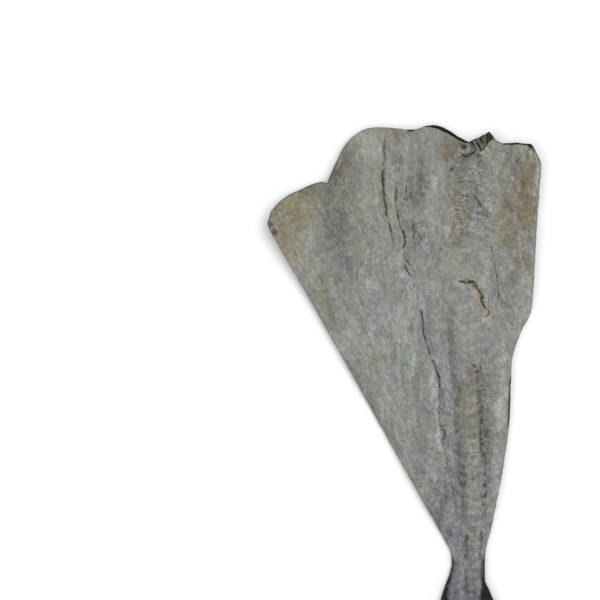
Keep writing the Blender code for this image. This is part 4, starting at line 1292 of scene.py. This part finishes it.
def make_fin():
    fin = merged_copy("tail_fin")
    cut_off(fin, FIN_START, False)
    remesh(fin, FIN_VOXEL)
    points = corners(fin.data)
    up = facing_up(fin.data)
    z = smooth_heights(fin.data, FIN_PASSES)
    x, y = points[:, 0], points[:, 1]
    ripple = np.cos(2 * math.pi * FIN_RAYS * ray_share(x, y))
    out = smooth(-214, -236, y)
    form = z + 0.25 * ripple * out + 0.35 * cloud(x, y, 7, 12, 81) * out + 0.2 * combed(x, y, 1.5, 3, 82)
    near_meat = smooth(-232, -222, y)
    under_meat = near_meat * smooth(0.0, -2.5, past_stalk(x, y))
    floor = solid_height(x, y, False) + SKIN_TOP - under_meat
    form = np.maximum(form - 0.5 * near_meat - 2.5 * under_meat, floor)
    form = np.where(up > FACES_UP, form, points[:, 2] + np.where(up < FACES_DOWN, UNDER_LIFT, 0))
    move_to(fin.data, np.column_stack([x, y, form]))
    keep_number(fin.data, "ray", ray_share(x, y))
    return fin


def fin_material():
    paint = Paint("fin_web")
    place = paint.place()
    ray = paint.number_of("ray")
    down = paint.node("ShaderNodeSeparateXYZ", {}, place, output=1) * PER_METRE
    fine = paint.noise(place, 0.5 * PER_METRE, detail=4, roughness=0.7)
    wave = (ray * (2 * math.pi * FIN_RAYS) + (fine - 0.5) * 1.5).sine()
    colour = paint.mix(wave.step(-0.2, 0.9) * down.step(-212, -225) * 0.5, srgb(25, 26, 28), srgb(48, 48, 49))
    colour = paint.mix(fine.step(0.48, 0.62) * 0.45, colour, srgb(74, 78, 82))
    return paint.finish(colour, 0.65 + fine * 0.2, paint.bump(fine + wave * 0.3, 0.0005, 0.8), 0.12)


dress(make_fin(), fin_material())


# %% Geometry Nodes written the same way
class Growth(Maker):
    """A Geometry Nodes tree with named inputs."""

    KINDS = {float: "NodeSocketFloat", int: "NodeSocketInt"}

    def __init__(self, name, **inputs):
        self.tree = bpy.data.node_groups.new(name, "GeometryNodeTree")
        self.values = inputs
        for label, way in (("Geometry", "INPUT"), ("Grown", "OUTPUT")):
            self.tree.interface.new_socket(label, in_out=way, socket_type="NodeSocketGeometry")
        for label, value in inputs.items():
            self.tree.interface.new_socket(label, in_out="INPUT", socket_type=self.KINDS[type(value)])
        self.start = self.tree.nodes.new("NodeGroupInput")

    def given(self, name):
        return Link(self, self.start.outputs[name])

    def scattered(self, name):
        """Random points on the faces, closer where the named attribute is larger."""
        amount = self.node("GeometryNodeInputNamedAttribute", {"data_type": "FLOAT"}, Name=name)
        density = self.given("Density") * amount
        return self.node("GeometryNodeDistributePointsOnFaces", {"distribute_method": "RANDOM"},
                         Mesh=self.given("Geometry"), Density=density, Seed=self.given("Seed"))

    def between(self, kind, low, high):
        """A random value for each copy."""
        return self.node("FunctionNodeRandomValue", {"data_type": kind}, low, high)

    def hang_on(self, obj, geometry, material):
        """Ends the tree and gives the object a modifier that runs it."""
        real = self.node("GeometryNodeRealizeInstances", {}, geometry)
        made = self.node("GeometryNodeSetMaterial", {}, real, Material=material)
        end = self.tree.nodes.new("NodeGroupOutput")
        self.tree.links.new(made.socket, end.inputs["Grown"])
        modifier = obj.modifiers.new("grow", "NODES")
        modifier.node_group = self.tree
        for label, value in self.values.items():
            modifier[self.tree.interface.items_tree[label].identifier] = value

    def grow(self, obj, geometry, material):
        """Runs the tree on an object of faces and keeps what it makes as a plain mesh."""
        self.hang_on(obj, geometry, material)
        bake_modifiers(obj)


def curve_object(name, paths):
    """An object of open curves through the given points, in millimetres."""
    data = bpy.data.curves.new(name, "CURVE")
    data.dimensions = "3D"
    for path in paths:
        spline = data.splines.new("POLY")
        spline.points.add(len(path) - 1)
        for point, place in zip(spline.points, path):
            point.co = (*((value - centre) * MM for value, centre in zip(place, PLAN_CENTRE)), 1.0)
    return new_object(name, data)


print("inputs of a tree:", sorted(Growth.KINDS.values()))

# %% Rays along the fin
RAY_WIDTH = 0.8
RAY_SINK = 0.1
RAY_END = 1.04
FORK_AT = 0.5
RAY_STEPS = 8


def ray_paths():
    """The middle line of every ray, with a fork in each."""
    shares = [step / RAY_STEPS for step in range(RAY_STEPS + 1)]
    paths = []
    for ray in range(FIN_RAYS):
        middle = (ray + 0.5) / FIN_RAYS
        paths.append([ray_place(middle, share * FORK_AT) for share in shares])
        for side in (-1, 1):
            spread = side * 0.2 / FIN_RAYS
            paths.append([ray_place(middle + spread * share, FORK_AT + (RAY_END - FORK_AT) * share)
                          for share in shares])
    return paths


def lie_on_top(path, above):
    """Lays a path of places on the top of the solid, some height above it."""
    places = np.array(path, float)
    heights = solid_height(places[:, 0], places[:, 1], True) + above
    return [(px, py, pz) for (px, py), pz in zip(places, heights)]


def ray_growth():
    growth = Growth("rays", Width=RAY_WIDTH * MM, Taper=0.55)
    factor = growth.node("GeometryNodeSplineParameter", {})
    radius = growth.given("Width") * 0.5 * (1 - factor * growth.given("Taper"))
    ring = growth.node("GeometryNodeCurvePrimitiveCircle", {}, Resolution=6, Radius=1.0)
    tube = growth.node("GeometryNodeCurveToMesh", {}, Curve=growth.given("Geometry"), ProfileCurve=ring,
                       Scale=radius, FillCaps=True)
    return growth, tube


def ray_material():
    paint = Paint("fin_ray")
    fine = paint.noise(paint.place(), 0.45 * PER_METRE, detail=4)
    colour = paint.mix(fine.step(0.4, 0.65), srgb(34, 34, 35), srgb(78, 77, 73))
    return paint.finish(colour, 0.5 + fine * 0.3, paint.bump(fine, 0.0003))


rays = curve_object("fin_rays", [lie_on_top(path, -RAY_SINK) for path in ray_paths()])
print("rays:", len(rays.data.splines), "paths")

# %% [markdown]
# ## Curves grown into meshes
# A modifier can turn a curve into a mesh, but its object stays a curve. So the finished mesh
# is taken from the evaluated curve into an object of its own, and the curve is deleted.

# %% Grow along curves
def grow_along(curve, growth, geometry, material):
    """Runs a tree on a curve and returns a plain mesh object of the curve's name."""
    growth.hang_on(curve, geometry, material)
    graph = bpy.context.evaluated_depsgraph_get()
    data = bpy.data.meshes.new_from_object(curve.evaluated_get(graph))
    name = curve.name
    bpy.data.objects.remove(curve)
    data.name = name
    return new_object(name, data)


growth, tube = ray_growth()
material = ray_material()
rays = grow_along(rays, growth, tube, material)
rays.data.shade_smooth()
dress(rays, material)

# %% [markdown]
# ## The scrap of fin at the nape
# A crumpled scrap of a breast fin is left in the notch of the nape: a short strip with pale
# folds, painted shade in the creases between them and a black rim. It is a grid bent into pleats
# between two lines, its torn foot and its rim, and thickened by Solidify.

# %% Pleat the scrap
SCRAP_FOOT = [(66.5, 237.5), (69, 235.5), (74, 234.5), (79, 237), (82, 242.5), (86.5, 245.5)]
SCRAP_RIM = [(65, 243.5), (69, 247), (76, 250), (85, 254.3), (89, 248)]
SCRAP_PLEATS = 5
SCRAP_LEAN = 0.7
SCRAP_GRID = (85, 26)
SCRAP_THICK = 0.5


def along_line(line, share):
    """Places at the given shares of a line's length."""
    line = np.asarray(line, float)
    passed = np.concatenate([[0.0], np.cumsum(np.hypot(*np.diff(line, axis=0).T))])
    reached = share * passed[-1]
    return np.interp(reached, passed, line[:, 0]), np.interp(reached, passed, line[:, 1])


def make_scrap():
    columns, rows = SCRAP_GRID
    a, r = np.meshgrid(np.linspace(0, 1, columns), np.linspace(0, 1, rows), indexing="ij")
    a, r = a.ravel(), r.ravel()
    foot_x, foot_y = along_line(SCRAP_FOOT, a**SCRAP_LEAN)
    rim_x, rim_y = along_line(SCRAP_RIM, a ** (1 / SCRAP_LEAN))
    wave = np.cos(2 * math.pi * SCRAP_PLEATS * a + 1.2 * cloud(a * 40, r * 20, 6, 6, 101))
    x = foot_x + (rim_x - foot_x) * r + 0.6 * cloud(a * 40, r * 20, 5, 5, 102)
    y = foot_y + (rim_y - foot_y) * r + 0.6 * cloud(a * 40, r * 20, 5, 5, 103)
    y = y - 0.4 * (1 - wave) * (r > 0.97)
    z = solid_height(x, y, True) + 0.9 + 0.6 * wave + 0.8 * r
    index = np.arange(columns * rows).reshape(columns, rows)
    corner_lists = [index[:-1, :-1], index[1:, :-1], index[1:, 1:], index[:-1, 1:]]
    faces = np.stack(corner_lists, axis=-1).reshape(-1, 4)
    data = bpy.data.meshes.new("fin_scrap")
    data.from_pydata((np.column_stack([x, y, z]) - PLAN_CENTRE) * MM, [], faces.tolist())
    keep_number(data, "wave", wave)
    keep_number(data, "along", a)
    keep_number(data, "rim", np.maximum(smooth(0.78, 0.95, r), smooth(0.04, 0.0, a)))
    scrap = new_object("fin_scrap", data)
    wall = scrap.modifiers.new("wall", "SOLIDIFY")
    wall.thickness = SCRAP_THICK * MM
    wall.offset = 0
    bake_modifiers(scrap)
    with edited(scrap.data) as mesh:
        bmesh.ops.recalc_face_normals(mesh, faces=mesh.faces)
    scrap.data.shade_smooth()
    return scrap


def scrap_material():
    paint = Paint("fin_scrap")
    wave = paint.number_of("wave")
    along = paint.number_of("along")
    rim = paint.number_of("rim")
    fine = paint.noise(paint.place(), 0.6 * PER_METRE, detail=4)
    rough = (fine - 0.5) * 2
    web = paint.mix(along.step(0.3, 0.5), srgb(114, 110, 101), srgb(84, 85, 71))
    web = paint.mix((along + rough * 0.2).step(0.68, 0.8), web, srgb(52, 52, 45))
    # painted shade: the troughs of the pleats are painted nearly black, as shade in the creases
    colour = paint.mix((wave + rough * 0.6).step(-0.1, -0.7) * 0.95, web, srgb(30, 27, 22))
    colour = paint.mix((rim + rough * 0.3).step(0.35, 0.75), colour, srgb(18, 17, 14))
    return paint.finish(colour, 0.7 + fine * 0.2, paint.bump(fine, 0.0004), 0.15)


dress(make_scrap(), scrap_material())

# %% [markdown]
# ## Frayed fibres
# Where the meat was torn, ends of fibres stand off it. There are thousands, so Geometry
# Nodes scatter one small tapered strand over the meat, closer where an attribute says so,
# and turn each along the flow of the fibres there. What stands higher than the fish is
# pressed down again, so that it stays in the solid's box.

# %% Scatter the strands
STRANDS_PER_M2 = 100000.0
HIGHEST = cad_box[1][2] / MM + 0.5


def fray(x, y):
    """How frayed the meat is, from 0 to 1."""
    split = split_edge(x, y)
    belly_away, _, _ = from_line(BELLY_WALL, x, y)
    patch = smooth(0.0, 0.5, cloud(x, y, 14, 20, 111) + 0.5 * cloud(x, y, 5, 5, 112))
    return np.clip(smooth(6, 1, split) + 0.6 * smooth(20, 6, belly_away) + 0.5 * patch, 0, 1)


def strand_growth():
    growth = Growth("strands", Density=STRANDS_PER_M2, Length=4.2 * MM, Width=0.3 * MM, Seed=7)
    spots = growth.scattered("fray")
    upright = Link(growth, spots.socket.node.outputs["Rotation"])
    way = growth.node("GeometryNodeInputNamedAttribute", {"data_type": "FLOAT_VECTOR"}, Name="flow")
    laid = growth.node("FunctionNodeAlignRotationToVector", {"axis": "X", "pivot_axis": "Z"},
                       Rotation=upright, Vector=way)
    lean = growth.between("FLOAT_VECTOR", (-0.1, -0.35, -0.5), (0.1, 0.05, 0.5))
    leaned = growth.node("FunctionNodeRotateRotation", {"rotation_space": "LOCAL"}, laid, lean)
    cone = growth.node("GeometryNodeMeshCone", {"fill_type": "TRIANGLE_FAN"}, Vertices=3, SideSegments=2,
                       RadiusTop=0.04 * MM, RadiusBottom=growth.given("Width") * 0.5,
                       Depth=growth.given("Length"))
    flat = growth.node("GeometryNodeTransform", {}, Geometry=cone, Rotation=(0, math.pi / 2, 0))
    size = growth.between("FLOAT", 0.4, 1.3)
    copies = growth.node("GeometryNodeInstanceOnPoints", {}, Points=spots, Instance=flat, Rotation=leaned,
                         Scale=size)
    return growth, copies


def strand_material():
    paint = Paint("frayed_fibre")
    place = paint.place()
    shade = paint.noise(place, 0.25 * PER_METRE, detail=2)
    paler = paint.grey(0.9 + shade.step(0.35, 0.65) * 0.3)
    colour = paint.mix(1.0, paint.colour_of("stain"), paler, "MULTIPLY")
    return paint.finish(colour, 0.8, paint.bump(shade, 0.0002))


def press_down(obj):
    """Presses what stands higher than the fish down to its height."""
    points = corners(obj.data)
    points[:, 2] = np.minimum(points[:, 2], HIGHEST)
    move_to(obj.data, points)


def host_of(name, **numbers):
    """A copy of the meat with more numbers on its vertices, to scatter on."""
    host = new_object(name, meat.data.copy())
    for label, value in numbers.items():
        keep_number(host.data, label, value)
    return host


points = corners(meat.data)
x, y = points[:, 0], points[:, 1]
shown = np.where(on_top & ~sunk & (y > FIN_ROOT[0]), 1.0, 0.0)
fibres = host_of("fibres", fray=fray(x, y) * shown)
growth, copies = strand_growth()
material = strand_material()
growth.grow(fibres, copies, material)
press_down(fibres)
dress(fibres, material)

# %% [markdown]
# ## Salt
# Coarse salt dried onto the fish as small cubes, in patches and on the rough places, such as
# the belly line and beside the backbone. The same kind of tree scatters them, turned and
# sized at random.

# %% Scatter the salt
SALT_PER_M2 = 70000.0


def salt_growth():
    growth = Growth("salt", Density=SALT_PER_M2, Size=0.7 * MM, Seed=21)
    spots = growth.scattered("salted")
    turn = growth.between("FLOAT_VECTOR", (0.0, 0.0, 0.0), (6.3, 6.3, 6.3))
    size = growth.between("FLOAT", 0.45, 1.4)
    side = growth.given("Size")
    cube = growth.node("GeometryNodeMeshCube", {}, growth.node("ShaderNodeCombineXYZ", {}, side, side, side))
    copies = growth.node("GeometryNodeInstanceOnPoints", {}, Points=spots, Instance=cube, Rotation=turn,
                         Scale=size)
    return growth, copies


def salt_material():
    paint = Paint("salt")
    fine = paint.noise(paint.place(), 0.6 * PER_METRE, detail=2)
    colour = paint.mix(0.3 + fine.step(0.3, 0.7) * 0.3, paint.colour_of("stain"), srgb(178, 180, 178))
    return paint.finish(colour, 0.35 + fine * 0.2, paint.bump(fine, 0.0001))


patches = smooth(0.05, 0.6, cloud(x, y, 9, 12, 121) + 0.6 * cloud(x, y, 3, 3, 122))
salted = patches * 0.5 + harshness(x, y) * 0.5
salt = host_of("salt", salted=np.clip(salted, 0, 1) * shown)
growth, copies = salt_growth()
material = salt_material()
growth.grow(salt, copies, material)
press_down(salt)
dress(salt, material)

# %% [markdown]
# ## The table, the light and the camera
# The fish was photographed flat and square on, so the camera looks straight down from well
# above, through a long lens that keeps the sides from leaning. The light is a wide soft one
# from the right of the nape, with a weaker one opposite and an even white sky, over a pale
# table that reaches past every edge of the picture.

# %% Table
TABLE_HALF = 6.0
TABLE_TOP = -0.0003


def make_table():
    data = bpy.data.meshes.new("table")
    half, below = TABLE_HALF, TABLE_TOP
    data.from_pydata([(-half, -half, below), (half, -half, below), (half, half, below), (-half, half, below)],
                     [], [(0, 1, 2, 3)])
    table = bpy.data.objects.new("table", data)
    bpy.context.scene.collection.objects.link(table)
    paint = Paint("table_top")
    fine = paint.noise(paint.place(), 40.0)
    data.materials.append(paint.finish(paint.mix(fine, srgb(246, 246, 246), srgb(250, 250, 250)), 0.6))


make_table()
print("table:", 2 * TABLE_HALF, "m wide")

# %% Light
SKY_STRENGTH = 0.56


def add_lamp(name, place, aim, size, power):
    lamp = bpy.data.lights.new(name, "AREA")
    lamp.shape = "SQUARE"
    lamp.size = size
    lamp.energy = power
    obj = new_object(name, lamp)
    obj.location = place
    obj.rotation_euler = (Vector(aim) - Vector(place)).to_track_quat("-Z", "Y").to_euler()


add_lamp("key", (0.7, 0.6, 2.1), (0, 0, 0), 1.5, 25)
add_lamp("fill", (-1.2, -0.5, 1.9), (0, 0, 0), 1.8, 13)
world = bpy.context.scene.world or bpy.data.worlds.new("sky")
bpy.context.scene.world = world
world.use_nodes = True
sky = world.node_tree.nodes["Background"]
sky.inputs["Color"].default_value = (1.0, 1.0, 1.0, 1.0)
sky.inputs["Strength"].default_value = SKY_STRENGTH
bpy.context.scene.view_settings.view_transform = "Standard"
print("lamps:", len(bpy.data.lights))

# %% Camera
PHOTO_WIDTH = 600.0
PHOTO_CENTRE = (-103.5, 87.0)
LENS = 100.0
SENSOR = 36.0

camera_data = bpy.data.cameras.new("camera")
camera_data.lens = LENS
camera_data.sensor_width = SENSOR
camera = new_object("camera", camera_data)
camera_height = PHOTO_WIDTH * LENS / SENSOR
camera.location = ((PHOTO_CENTRE[0] - PLAN_CENTRE[0]) * MM, (PHOTO_CENTRE[1] - PLAN_CENTRE[1]) * MM,
                   camera_height * MM)
bpy.context.scene.camera = camera
print("camera:", round(camera_height), "mm above the table")
